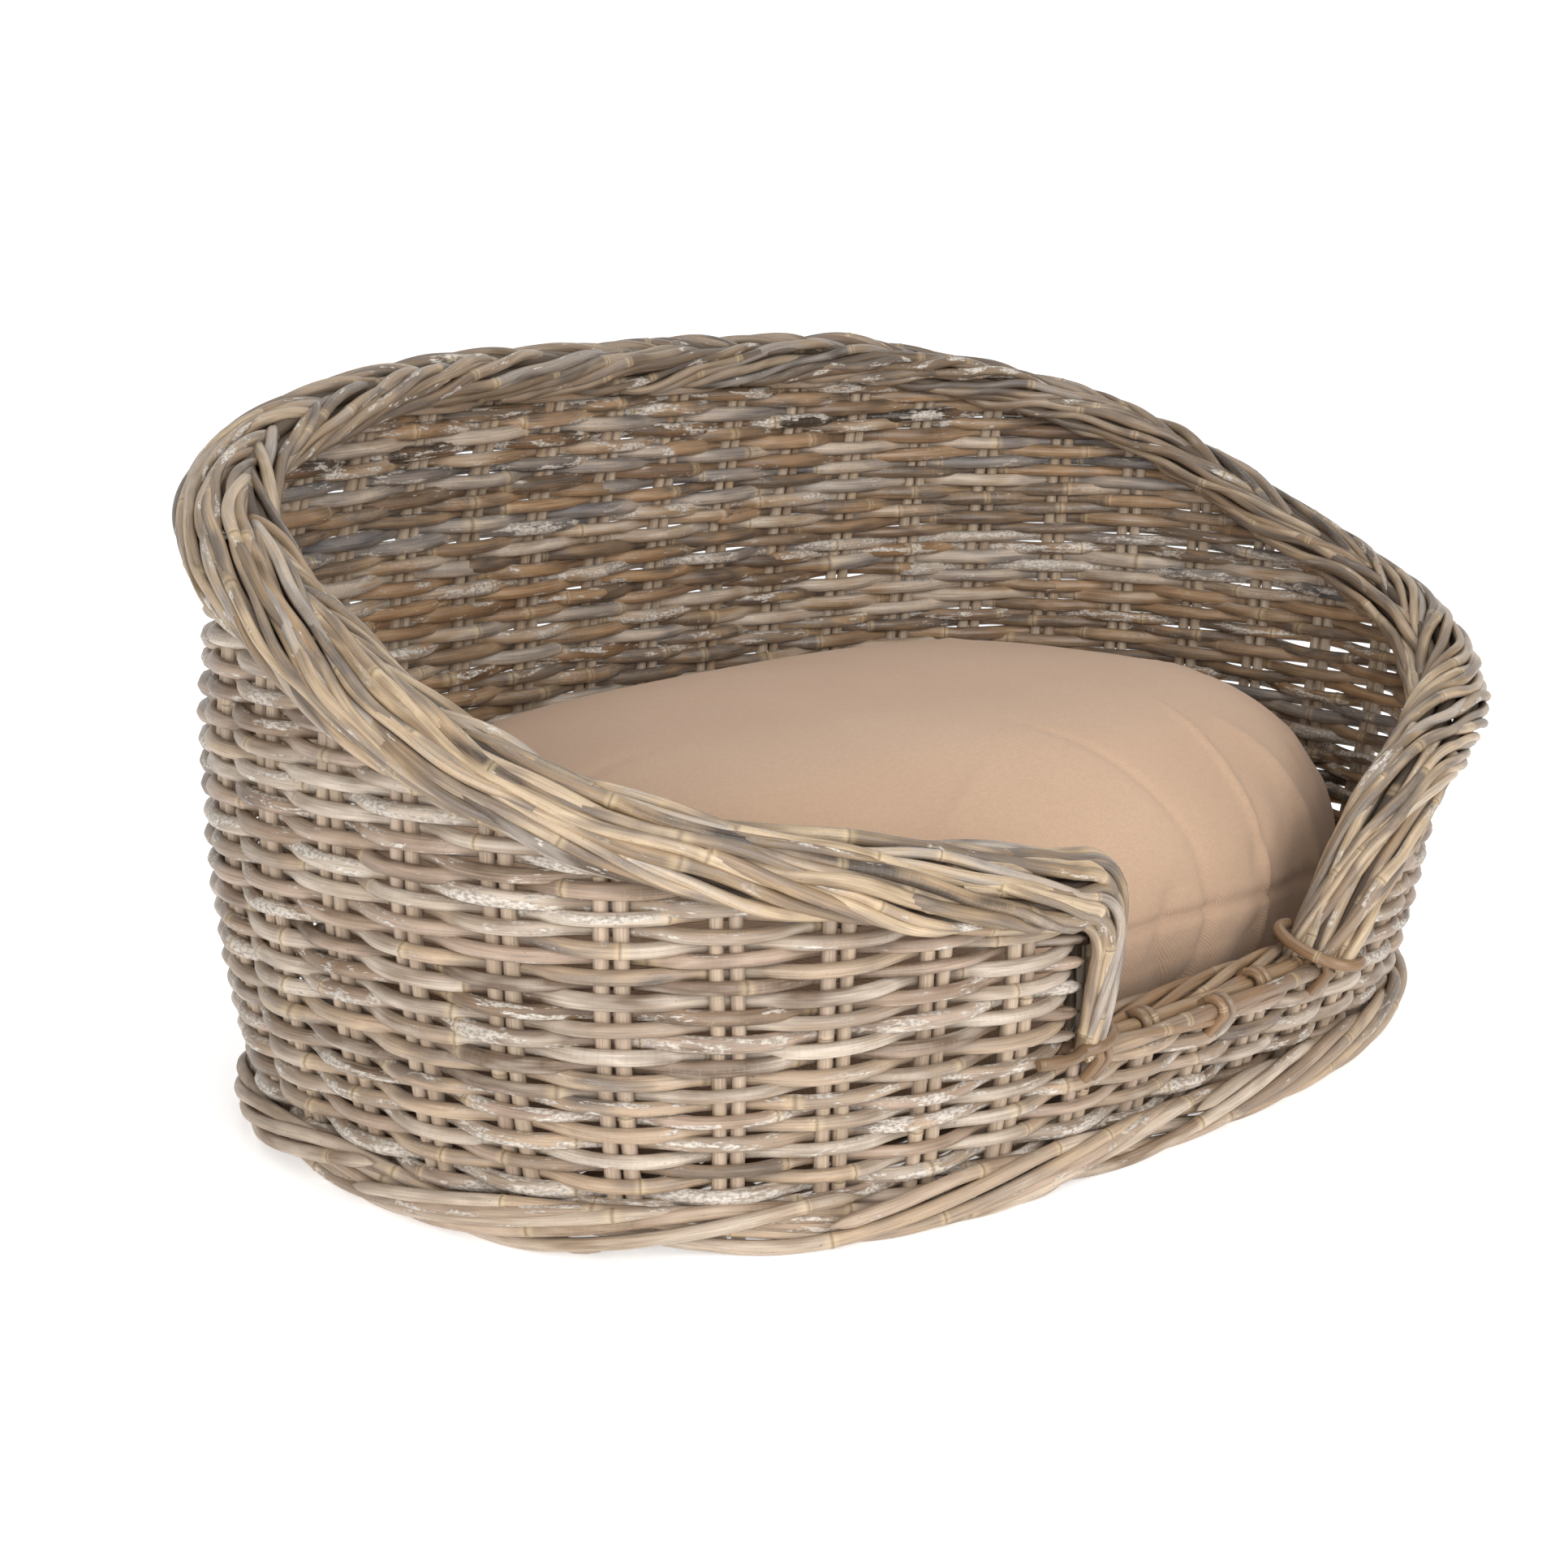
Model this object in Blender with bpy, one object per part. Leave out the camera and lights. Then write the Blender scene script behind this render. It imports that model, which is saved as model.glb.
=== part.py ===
"""Oval woven pet bed basket with a high back, a low front entrance and a loose cushion.

Row frame: metres, +Z up, origin at the bottom centre of the basket's box, +X along the long
axis, the entrance towards -Y. Every woven piece follows one leaning oval wall, so a place on
the basket is given as (arc, z, out): arc runs round the wall from the middle of the back,
positive towards +X, z is the height, and out is the distance from the wall's middle surface.
"""
import math

import bmesh
import bpy
import numpy as np

# Overall size of the basket.
HEIGHT = 0.4064
# The wall's middle surface: half width, half depth and centre at the floor and at full height,
# and how far it swells outwards at half height.
FLOOR_HALF_WIDTH = 0.35418
FLOOR_HALF_DEPTH = 0.23134
FLOOR_CENTRE_Y = 0.013851
TOP_HALF_WIDTH = 0.373439
TOP_HALF_DEPTH = 0.21860
TOP_CENTRE_Y = -0.00771
WALL_BULGE = 0.0261
OVAL_POWER = 2.717
# The rim's height falls from the back to the ends of its arms: (share of the way, height).
RIM_PROFILE = ((0.0, 0.385337), (0.25, 0.3777), (0.43, 0.3396), (0.62, 0.2639), (0.79, 0.2064), (1.0, 0.1665))
# The right arm dips further, over this run of its end.
RIGHT_DIP = 0.0420
RIGHT_DIP_RUN = 0.1050
# Wall, stakes and clearances.
GAP = 0.0003
WALL_HALF = 0.0105
WALL_FOOT_Z = 0.0030
WALL_TOP_DROP = 0.0025
# Shares of their height at which the two bands of wall, and the stakes in them, follow the swell.
LOWER_LEVELS = (0.0, 0.5, 1.0)
UPPER_LEVELS = (0.0, 0.24, 0.47, 0.68, 0.84, 0.94, 1.0)
STAKE_PAIRS = 40
STAKE_HALF_SPAN = 0.0075
STAKE_HALF_THICK = 0.0035
STAKE_CHAMFER = 0.0018
STAKE_FOOT_RISE = 0.0010
STAKE_TOP_DROP = 0.0045
# Entrance: the arms stop this far from the middle of the front, and the sill is this low.
ARM_END_FROM_FRONT = 0.1308
SILL_Z = 0.0710
SILL_ROD_R = 0.0050
PLAIT_R = 0.0072
SILL_STEPS = 6
# Base.
PANEL_BOTTOM_Z = 0.0120
PANEL_TOP_Z = 0.0200
HOOP_HALF = 0.0042
STICK_R = 0.0038
STICK_SPACING = 0.1000
STICK_END_GAP = 0.0020
STICK_REACH_BAND = 0.0030
# Foot border: three canes laid round the foot of the wall.
WALE_R = 0.0050
# Rim: (height above the rim's middle line, distance out) round each half of its section.
NOTCH = WALL_HALF + GAP
RIM_ROOF = -0.0020
RIM_PART_OUT = -0.0055
RIM_OUTER_SECTION = ((-0.0195, NOTCH), (-0.0210, 0.0200), (-0.0165, 0.0265), (-0.0070, 0.0290),
                     (0.0050, 0.0260), (0.0150, 0.0160), (0.0205, 0.0040), (0.0205, RIM_PART_OUT),
                     (RIM_ROOF, RIM_PART_OUT), (RIM_ROOF, NOTCH))
RIM_INNER_SECTION = ((0.0203, RIM_PART_OUT - GAP), (0.0160, -0.0130), (0.0060, -0.0200),
                     (-0.0060, -0.0210), (-0.0130, -0.0165), (-0.0130, -NOTCH), (RIM_ROOF, -NOTCH),
                     (RIM_ROOF, RIM_PART_OUT - GAP))
# Tails: the rim's canes turned down at each end of the entrance, with a cane loop round them.
TAIL_HALF_BOTTOM = (0.0115, 0.0120)
TAIL_HALF_TOP = (0.0160, 0.0250)
TAIL_OUT_TOP = 0.0040
TAIL_LEAN = 0.0080
TAIL_TOP_RISE = 0.0180
TAIL_SIDES = 12
TAIL_SQUARENESS = 0.7
TAIL_LEVELS = ((0.0, 1.0), (0.5, 1.0), (0.85, 1.0), (1.0, 0.75))
LOOP_R = 0.0040
LOOP_Z = 0.0930
LOOP_SIDES = 6
# Cushion: (height above its underside, distance in) up its side, then the crown's rings.
CUSHION_GAP = 0.0360
CUSHION_SIDE = ((0.0, 0.018), (0.0120, 0.003), (0.0447, 0.0), (0.0847, 0.002))
CUSHION_CROWN_Z = 0.2160
CUSHION_CROWN_SHARES = (0.97, 0.90, 0.78, 0.60, 0.35)
CUSHION_CROWN_POWER = 4
# Colour and roughness of each kind of piece.
FINISHES = {
    "base_panel": ((0.42, 0.33, 0.24), 0.60),
    "base_frame": ((0.44, 0.35, 0.25), 0.60),
    "foot": ((0.46, 0.37, 0.27), 0.50),
    "lower_weave": ((0.40, 0.32, 0.24), 0.55),
    "upper_weave": ((0.38, 0.30, 0.22), 0.55),
    "stakes": ((0.50, 0.41, 0.31), 0.40),
    "rim_outer": ((0.55, 0.45, 0.32), 0.45),
    "rim_inner": ((0.48, 0.39, 0.29), 0.45),
    "tail": ((0.52, 0.43, 0.31), 0.45),
    "tie": ((0.36, 0.27, 0.19), 0.30),
    "sill": ((0.42, 0.32, 0.22), 0.35),
    "sill_plait": ((0.40, 0.31, 0.22), 0.45),
    "cushion": ((0.58, 0.43, 0.30), 0.90),
}


def oval(phi, z):
    """Point of the wall's middle surface at plan angle phi (0 = +X, 90 degrees = +Y)."""
    t = z / HEIGHT
    swell = WALL_BULGE * 4 * t * (1 - t)
    half_width = FLOOR_HALF_WIDTH + (TOP_HALF_WIDTH - FLOOR_HALF_WIDTH) * t + swell
    half_depth = FLOOR_HALF_DEPTH + (TOP_HALF_DEPTH - FLOOR_HALF_DEPTH) * t + swell
    centre_y = FLOOR_CENTRE_Y + (TOP_CENTRE_Y - FLOOR_CENTRE_Y) * t
    c, s = np.cos(phi), np.sin(phi)
    x = half_width * np.sign(c) * np.abs(c) ** (2.0 / OVAL_POWER)
    y = centre_y + half_depth * np.sign(s) * np.abs(s) ** (2.0 / OVAL_POWER)
    return x, y


def arc_table(count=20001):
    """Arc length from the middle of the back against plan angle, at half height, on the +X side."""
    phi = np.linspace(math.pi / 2, -math.pi / 2, count)
    x, y = oval(phi, HEIGHT / 2)
    arc = np.concatenate([[0.0], np.cumsum(np.hypot(np.diff(x), np.diff(y)))])
    return phi, arc


PHI_TABLE, ARC_TABLE = arc_table()
HALF_GIRTH = float(ARC_TABLE[-1])
ARM_ARC = HALF_GIRTH - ARM_END_FROM_FRONT
PITCH = 2 * HALF_GIRTH / STAKE_PAIRS


def wall_point(arc, z, out=0.0):
    """World point at arc round the wall, height z and distance out from its middle surface."""
    arc = (arc + HALF_GIRTH) % (2 * HALF_GIRTH) - HALF_GIRTH
    phi = float(np.interp(abs(arc), ARC_TABLE, PHI_TABLE))
    x, y = oval(phi, z)
    mid_x, mid_y = oval(phi, HEIGHT / 2)
    half_width = (FLOOR_HALF_WIDTH + TOP_HALF_WIDTH) / 2 + WALL_BULGE
    half_depth = (FLOOR_HALF_DEPTH + TOP_HALF_DEPTH) / 2 + WALL_BULGE
    rel_y = mid_y - (FLOOR_CENTRE_Y + TOP_CENTRE_Y) / 2
    nx = abs(mid_x / half_width) ** (OVAL_POWER - 1) / half_width
    ny = math.copysign(abs(rel_y / half_depth) ** (OVAL_POWER - 1), rel_y) / half_depth
    size = math.hypot(nx, ny)
    side = 1.0 if arc >= 0 else -1.0
    return (side * (x + out * nx / size), y + out * ny / size, z)


def rim_height(arc):
    """Height of the rim's middle line, a smooth curve through RIM_PROFILE, and the right arm's dip."""
    share = min(abs(arc) / ARM_ARC, 1.0)
    knots = np.array(RIM_PROFILE)
    slope = np.gradient(knots[:, 1], knots[:, 0])
    slope[0] = 0.0
    i = min(int(np.searchsorted(knots[:, 0], share, side="right")) - 1, len(knots) - 2)
    width = knots[i + 1, 0] - knots[i, 0]
    t = (share - knots[i, 0]) / width
    height = float((2 * t**3 - 3 * t**2 + 1) * knots[i, 1] + (t**3 - 2 * t**2 + t) * width * slope[i]
                   + (3 * t**2 - 2 * t**3) * knots[i + 1, 1] + (t**3 - t**2) * width * slope[i + 1])
    dip = min(max(arc - ARM_ARC + RIGHT_DIP_RUN, 0.0) / RIGHT_DIP_RUN, 1.0)
    return height - RIGHT_DIP * dip**2


def stake_arc(index):
    """Arc of a stake pair's middle; the pairs are spaced evenly from the front's middle."""
    return -HALF_GIRTH + index * PITCH


def stake_lines(indices):
    """Arcs of the left and right edges of the slots that hold the stake pairs."""
    half = STAKE_HALF_SPAN + GAP
    return [arc for i in indices for arc in (stake_arc(i) - half, stake_arc(i) + half)]


ALL_PAIRS = range(STAKE_PAIRS)
TALL_PAIRS = [i for i in ALL_PAIRS if abs(stake_arc(i)) < ARM_ARC]
RING_ARCS = stake_lines(ALL_PAIRS)
ARM_ARCS = [-ARM_ARC] + stake_lines(TALL_PAIRS) + [ARM_ARC]


def make_material(name, finish):
    colour, roughness = FINISHES[finish]
    material = bpy.data.materials.new(name)
    material.use_nodes = True
    shader = material.node_tree.nodes["Principled BSDF"]
    shader.inputs["Base Color"].default_value = (*colour, 1.0)
    shader.inputs["Roughness"].default_value = roughness
    shader.inputs["Metallic"].default_value = 0.0
    return material


def add_part(name, points, faces, finish, parent, origin=(0.0, 0.0, 0.0)):
    """One closed piece as its own object, with its own material and its origin at origin."""
    mesh = bpy.data.meshes.new(name)
    bm = bmesh.new()
    verts = [bm.verts.new((p[0] - origin[0], p[1] - origin[1], p[2] - origin[2])) for p in points]
    for face in faces:
        bm.faces.new([verts[i] for i in face])
    bmesh.ops.recalc_face_normals(bm, faces=bm.faces)
    bm.to_mesh(mesh)
    bm.free()
    mesh.shade_smooth()
    mesh.set_sharp_from_angle(angle=math.radians(50))
    mesh.materials.append(make_material(name, finish))
    obj = bpy.data.objects.new(name, mesh)
    obj.location = origin
    obj.parent = parent
    bpy.context.collection.objects.link(obj)
    return obj


def sweep(sections, closed):
    """Points and faces of a solid through sections of equal point count, a ring when closed."""
    size = len(sections[0])
    points = [p for section in sections for p in section]
    count = len(sections)
    faces = []
    for k in range(count if closed else count - 1):
        a, b = k * size, (k + 1) % count * size
        for j in range(size):
            m = (j + 1) % size
            faces.append((a + j, a + m, b + m, b + j))
    if not closed:
        faces.append(tuple(range(size)))
        faces.append(tuple(range((count - 1) * size, count * size)))
    return points, faces


def round_section(radius, sides=8):
    """(z, out) corners of a round cane, turned so that a flat side faces down and inwards."""
    turn = math.pi / sides
    angles = [turn + 2 * math.pi * k / sides for k in range(sides)]
    return [(radius * math.sin(a), radius * math.cos(a)) for a in angles]


def cane(arcs, z, out, section, closed):
    """A cane laid along the wall at one height and one distance out."""
    sections = [[wall_point(arc, z + dz, out + do) for dz, do in section] for arc in arcs]
    return sweep(sections, closed)


def band_heights(arc, bottom, top, levels):
    """Heights of a band's levels at an arc."""
    low, high = bottom(arc), top(arc)
    return [low + (high - low) * share for share in levels]


def woven_band(arcs, slots, bottom, top, levels, closed):
    """A band of the woven wall, with an open slot from bottom to top for each stake pair.

    arcs are the band's vertical lines, slots the numbers of the lines that start a slot, and
    bottom and top give the height at an arc.
    """
    slot_half = STAKE_HALF_THICK + GAP
    outs = (WALL_HALF, slot_half, -slot_half, -WALL_HALF)
    points = []
    for arc in arcs:
        for z in band_heights(arc, bottom, top, levels):
            points.extend(wall_point(arc, z, out) for out in outs)
    count = len(arcs)
    steps = len(levels) - 1
    faces = []

    def at(line, level, depth):
        return ((line % count) * len(levels) + level) * len(outs) + depth

    for line in range(count if closed else count - 1):
        following = line + 1
        for depth in range(3):
            if depth == 1 and line in slots:
                continue
            for level in (0, steps):
                faces.append((at(line, level, depth), at(line, level, depth + 1),
                              at(following, level, depth + 1), at(following, level, depth)))
        for level in range(steps):
            for depth in (0, 1, 2, 3) if line in slots else (0, 3):
                faces.append((at(line, level, depth), at(following, level, depth),
                              at(following, level + 1, depth), at(line, level + 1, depth)))
            for edge in (line, following) if line in slots else ():
                faces.append((at(edge, level, 1), at(edge, level, 2),
                              at(edge, level + 1, 2), at(edge, level + 1, 1)))
    for end in () if closed else (0, count - 1):
        for level in range(steps):
            for depth in range(3):
                faces.append((at(end, level, depth), at(end, level, depth + 1),
                              at(end, level + 1, depth + 1), at(end, level + 1, depth)))
    return points, faces


def wall_foot(arc):
    return WALL_FOOT_Z


def lower_top(arc):
    return SILL_Z - GAP


def upper_bottom(arc):
    return SILL_Z


def upper_top(arc):
    return rim_height(arc) - WALL_TOP_DROP


def make_weave(parent):
    """The rows that run all the way round, and above them the rows that turn back at the arms."""
    lower_slots = set(range(0, len(RING_ARCS), 2))
    points, faces = woven_band(RING_ARCS, lower_slots, wall_foot, lower_top, LOWER_LEVELS, closed=True)
    add_part("lower_weave", points, faces, "lower_weave", parent)
    upper_slots = set(range(1, len(ARM_ARCS) - 1, 2))
    points, faces = woven_band(ARM_ARCS, upper_slots, upper_bottom, upper_top, UPPER_LEVELS, closed=False)
    add_part("upper_weave", points, faces, "upper_weave", parent)


def stake_heights(index, arc):
    """Heights at which a stake pair follows the wall: its top is just under the rim or the sill."""
    heights = band_heights(arc, wall_foot, lower_top, LOWER_LEVELS)
    heights[0] += STAKE_FOOT_RISE
    if index in TALL_PAIRS:
        heights += band_heights(arc, upper_bottom, upper_top, UPPER_LEVELS)[1:]
        heights[-1] = rim_height(arc) - STAKE_TOP_DROP
    return heights


def make_stakes(parent):
    """Pairs of upright stakes, each pair one flattened double rod inside the weave."""
    span, thick, chamfer = STAKE_HALF_SPAN, STAKE_HALF_THICK, STAKE_CHAMFER
    outline = [(-span, thick - chamfer), (-span + chamfer, thick), (span - chamfer, thick),
               (span, thick - chamfer), (span, chamfer - thick), (span - chamfer, -thick),
               (chamfer - span, -thick), (-span, chamfer - thick)]
    for i in ALL_PAIRS:
        arc = stake_arc(i)
        columns = [[wall_point(arc + da, z, out) for z in stake_heights(i, arc + da)] for da, out in outline]
        sections = [list(level) for level in zip(*columns)]
        points, faces = sweep(sections, closed=False)
        add_part(f"stake_pair_{i + 1:02d}", points, faces, "stakes", parent,
                 origin=wall_point(arc, WALL_FOOT_Z))


def make_foot_border(parent):
    """Three canes round the foot of the wall; the lowest has a flat underside to stand on."""
    out = WALL_HALF + GAP + WALE_R
    for k in range(3):
        z = WALE_R + k * (2 * WALE_R + GAP)
        section = round_section(WALE_R)
        lowest = min(dz for dz, _ in section)
        z_shift = -WALE_R - lowest if k == 0 else 0.0
        points, faces = cane(RING_ARCS, z + z_shift, out, section, closed=True)
        add_part(f"foot_cane_{k + 1}", points, faces, "foot", parent)


def make_base(parent):
    """The woven floor, the hoop that edges it below and the sticks that carry it."""
    edge = -WALL_HALF - GAP
    ring = [[wall_point(arc, z, edge) for arc in RING_ARCS] for z in (PANEL_BOTTOM_Z, PANEL_TOP_Z)]
    points, faces = sweep(ring, closed=False)
    add_part("base_panel", points, faces, "base_panel", parent, origin=(0, 0, PANEL_BOTTOM_Z))
    hoop_z = PANEL_BOTTOM_Z - GAP - HOOP_HALF
    hoop_out = edge - GAP - HOOP_HALF
    square = [(HOOP_HALF, HOOP_HALF), (HOOP_HALF, -HOOP_HALF), (-HOOP_HALF, -HOOP_HALF), (-HOOP_HALF, HOOP_HALF)]
    points, faces = cane(RING_ARCS, hoop_z, hoop_out, square, closed=True)
    add_part("base_hoop", points, faces, "base_frame", parent)
    for k, y in enumerate((-STICK_SPACING, 0.0, STICK_SPACING)):
        reach = stick_reach(y, hoop_out - HOOP_HALF - STICK_END_GAP)
        z = PANEL_BOTTOM_Z - GAP - STICK_R
        circle = round_section(STICK_R)
        sections = [[(x, y + dy, z + dz) for dz, dy in circle] for x in (-reach, reach)]
        points, faces = sweep(sections, closed=False)
        add_part(f"base_stick_{k + 1}", points, faces, "base_frame", parent, origin=(0, y, z))


def stick_reach(y, out):
    """Half length of a base stick at y that stops short of the hoop."""
    arcs = np.linspace(0.0, HALF_GIRTH, 400)
    lowest = PANEL_BOTTOM_Z - GAP - 2 * HOOP_HALF
    line = [wall_point(arc, lowest, out) for arc in arcs]
    near = [p[0] for p in line if abs(p[1] - y) < STICK_R + STICK_REACH_BAND]
    return min(near)


def make_rim(parent):
    """The plaited border that straddles the wall: canes over the outside, and canes up the inside."""
    for name, section, finish in (("rim_outer_plait", RIM_OUTER_SECTION, "rim_outer"),
                                  ("rim_inner_plait", RIM_INNER_SECTION, "rim_inner")):
        sections = [[wall_point(arc, rim_height(arc) + dz, out) for dz, out in section] for arc in ARM_ARCS]
        points, faces = sweep(sections, closed=False)
        add_part(name, points, faces, finish, parent)


def tail_loop(side, t, z, grow=0.0, shrink=1.0):
    """Corners of a tail's rounded section at share t of its height, or of a loop grown round it."""
    along = (TAIL_HALF_BOTTOM[0] + (TAIL_HALF_TOP[0] - TAIL_HALF_BOTTOM[0]) * t) * shrink + grow
    across = (TAIL_HALF_BOTTOM[1] + (TAIL_HALF_TOP[1] - TAIL_HALF_BOTTOM[1]) * t) * shrink + grow
    centre = side * (ARM_ARC + GAP + TAIL_HALF_TOP[0] + TAIL_LEAN * (1 - t))
    out = TAIL_OUT_TOP * t
    corners = []
    for k in range(TAIL_SIDES):
        a = 2 * math.pi * (k + 0.5) / TAIL_SIDES
        c, s = math.cos(a), math.sin(a)
        da = along * math.copysign(abs(c) ** TAIL_SQUARENESS, c)
        do = across * math.copysign(abs(s) ** TAIL_SQUARENESS, s)
        corners.append(wall_point(centre + da, z, out + do))
    return corners


def make_tails(parent):
    """At each end of the entrance the rim's canes turn down, held to the sill by a loop of cane."""
    bottom = SILL_Z + 2 * SILL_ROD_R + 3 * GAP
    for side, word in ((-1, "left"), (1, "right")):
        top = rim_height(side * ARM_ARC) + TAIL_TOP_RISE
        origin = wall_point(side * (ARM_ARC + TAIL_HALF_TOP[0]), bottom)
        sections = []
        for t, shrink in TAIL_LEVELS:
            sections.append(tail_loop(side, t, bottom + (top - bottom) * t, shrink=shrink))
        points, faces = sweep(sections, closed=False)
        add_part(f"rim_tail_{word}", points, faces, "tail", parent, origin)
        ring = []
        for dz, dr in round_section(LOOP_R, LOOP_SIDES):
            t = (LOOP_Z + dz - bottom) / (top - bottom)
            ring.append(tail_loop(side, t, LOOP_Z + dz, grow=LOOP_R + 2 * GAP + dr))
        sections = [list(column) for column in zip(*ring)]
        points, faces = sweep(sections, closed=True)
        add_part(f"tie_loop_{word}", points, faces, "tie", parent, origin)


def make_sill(parent):
    """Two canes along the top of the low front, and the plaited border on its inner side."""
    reach = ARM_END_FROM_FRONT - GAP
    arcs = [HALF_GIRTH + reach * k / SILL_STEPS for k in range(-SILL_STEPS, SILL_STEPS + 1)]
    z = SILL_Z + GAP + SILL_ROD_R
    for name, out in (("sill_cane_outer", SILL_ROD_R + GAP), ("sill_cane_inner", -SILL_ROD_R - GAP)):
        points, faces = cane(arcs, z, out, round_section(SILL_ROD_R), closed=False)
        add_part(name, points, faces, "sill", parent)
    plait_out = -WALL_HALF - GAP - PLAIT_R
    points, faces = cane(arcs, z, plait_out, round_section(PLAIT_R), closed=False)
    add_part("sill_plait", points, faces, "sill_plait", parent)


def make_cushion(parent):
    """A boxed cushion with a high crown, lying loose on the floor of the basket."""
    bottom = PANEL_TOP_Z + GAP
    rings = []
    for rise, inset in CUSHION_SIDE:
        rings.append([wall_point(arc, bottom + rise, -CUSHION_GAP - inset) for arc in RING_ARCS])
    edge = rings[-1]
    edge_z = edge[0][2]
    centre_y = sum(p[1] for p in edge) / len(edge)
    for share in CUSHION_CROWN_SHARES:
        z = edge_z + (CUSHION_CROWN_Z - edge_z) * math.sqrt(1 - share**CUSHION_CROWN_POWER)
        rings.append([(x * share, centre_y + (y - centre_y) * share, z) for x, y, _ in edge])
    points, faces = sweep(rings, closed=False)
    faces.pop()
    apex = len(points)
    points.append((0.0, centre_y, CUSHION_CROWN_Z))
    last = apex - len(edge)
    faces.extend((last + j, last + (j + 1) % len(edge), apex) for j in range(len(edge)))
    add_part("cushion", points, faces, "cushion", parent, origin=(0.0, centre_y, bottom))


def add_empty(name):
    empty = bpy.data.objects.new(name, None)
    bpy.context.collection.objects.link(empty)
    return empty


def main():
    for obj in list(bpy.data.objects):
        bpy.data.objects.remove(obj, do_unlink=True)
    basket = add_empty("basket_frame")
    make_base(basket)
    make_foot_border(basket)
    make_weave(basket)
    make_stakes(basket)
    make_rim(basket)
    make_tails(basket)
    make_sill(basket)
    make_cushion(add_empty("cushion_lift_frame"))
    bpy.context.view_layer.update()


main()
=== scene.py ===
"""Wicker pet bed basket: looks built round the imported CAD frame."""
import math

import bmesh
import bpy
import numpy as np
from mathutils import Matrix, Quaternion, Vector


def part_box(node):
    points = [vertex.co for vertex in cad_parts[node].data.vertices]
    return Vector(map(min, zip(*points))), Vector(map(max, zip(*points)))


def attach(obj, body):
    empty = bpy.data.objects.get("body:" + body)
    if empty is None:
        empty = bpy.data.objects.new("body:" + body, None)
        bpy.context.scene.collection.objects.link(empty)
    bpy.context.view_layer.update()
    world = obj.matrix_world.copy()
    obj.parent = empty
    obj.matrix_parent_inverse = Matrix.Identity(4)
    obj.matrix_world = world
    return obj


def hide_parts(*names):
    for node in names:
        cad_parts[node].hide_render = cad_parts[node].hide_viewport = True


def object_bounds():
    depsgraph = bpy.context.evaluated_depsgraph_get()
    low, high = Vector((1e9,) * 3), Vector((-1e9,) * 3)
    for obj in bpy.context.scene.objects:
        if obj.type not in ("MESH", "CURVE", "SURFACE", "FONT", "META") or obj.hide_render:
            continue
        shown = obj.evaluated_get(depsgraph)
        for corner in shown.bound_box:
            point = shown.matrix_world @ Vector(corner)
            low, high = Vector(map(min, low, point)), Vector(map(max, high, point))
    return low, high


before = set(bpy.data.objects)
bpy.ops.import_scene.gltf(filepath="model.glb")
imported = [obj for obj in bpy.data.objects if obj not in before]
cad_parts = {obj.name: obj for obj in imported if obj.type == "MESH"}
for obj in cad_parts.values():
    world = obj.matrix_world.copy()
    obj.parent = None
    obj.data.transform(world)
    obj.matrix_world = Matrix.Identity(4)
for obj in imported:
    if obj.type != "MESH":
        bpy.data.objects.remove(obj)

CAD_BOX = [list(map(float, corner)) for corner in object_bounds()]
HEIGHT = CAD_BOX[1][2]

# The wall's middle surface, as in the CAD: half width, half depth and centre at floor and full height.
FLOOR_HALF_WIDTH, TOP_HALF_WIDTH = 0.35418, 0.373439
FLOOR_HALF_DEPTH, TOP_HALF_DEPTH = 0.23134, 0.21860
FLOOR_CENTRE_Y, TOP_CENTRE_Y = 0.013851, -0.00771
WALL_BULGE = 0.0261
OVAL_POWER = 2.717
RIM_PROFILE = ((0.0, 0.385337), (0.25, 0.3777), (0.43, 0.3396), (0.62, 0.2639), (0.79, 0.2064), (1.0, 0.1665))
RIGHT_DIP, RIGHT_DIP_RUN = 0.0420, 0.1050
STAKE_PAIRS = 40
ARM_END_FROM_FRONT = 0.1308
SILL_Z = float(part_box("lower_weave")[1][2])
SILL_CANE_Z = float((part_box("sill_cane_outer")[0][2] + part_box("sill_cane_outer")[1][2]) / 2)

# Canes. A stake's two values are at the floor and at full height.
STAKE_R = (0.0039, 0.0034)
STAKE_SHIFT = (0.0050, 0.0041)  # from the middle of its pair
WEAVER_R = 0.0037
BACK_THICKER = 0.26  # share by which a weaver is thicker at the middle of the back
ROW_PITCH = 0.0068
WEAVE_OUT = 0.0054  # how far a weaver swings out of the wall's middle surface
ROW_STEP = 0.0062  # length between the points of a weaver's path
ROW_OVERLAP = 0.012  # length by which a weaver runs on past its last stake pair
RIM_TUCK = -0.003  # room between the top rows and the rim's middle line; below zero they run past it
RIM_R = 0.0032
FOOT_R = 0.0038
CUT = (0.008, 0.008)  # lengths over which a cane's two ends are pared down
LONG_CUT = (0.01, 0.01)


def oval(phi, z):
    """Point of the wall's middle surface at the oval's angle phi and height z, on the right half."""
    t = z / HEIGHT
    swell = WALL_BULGE * 4 * t * (1 - t)
    half_width = FLOOR_HALF_WIDTH + (TOP_HALF_WIDTH - FLOOR_HALF_WIDTH) * t + swell
    half_depth = FLOOR_HALF_DEPTH + (TOP_HALF_DEPTH - FLOOR_HALF_DEPTH) * t + swell
    centre_y = FLOOR_CENTRE_Y + (TOP_CENTRE_Y - FLOOR_CENTRE_Y) * t
    c, s = np.cos(phi), np.sin(phi)
    x = half_width * np.sign(c) * np.abs(c) ** (2.0 / OVAL_POWER)
    y = centre_y + half_depth * np.sign(s) * np.abs(s) ** (2.0 / OVAL_POWER)
    return x, y


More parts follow.
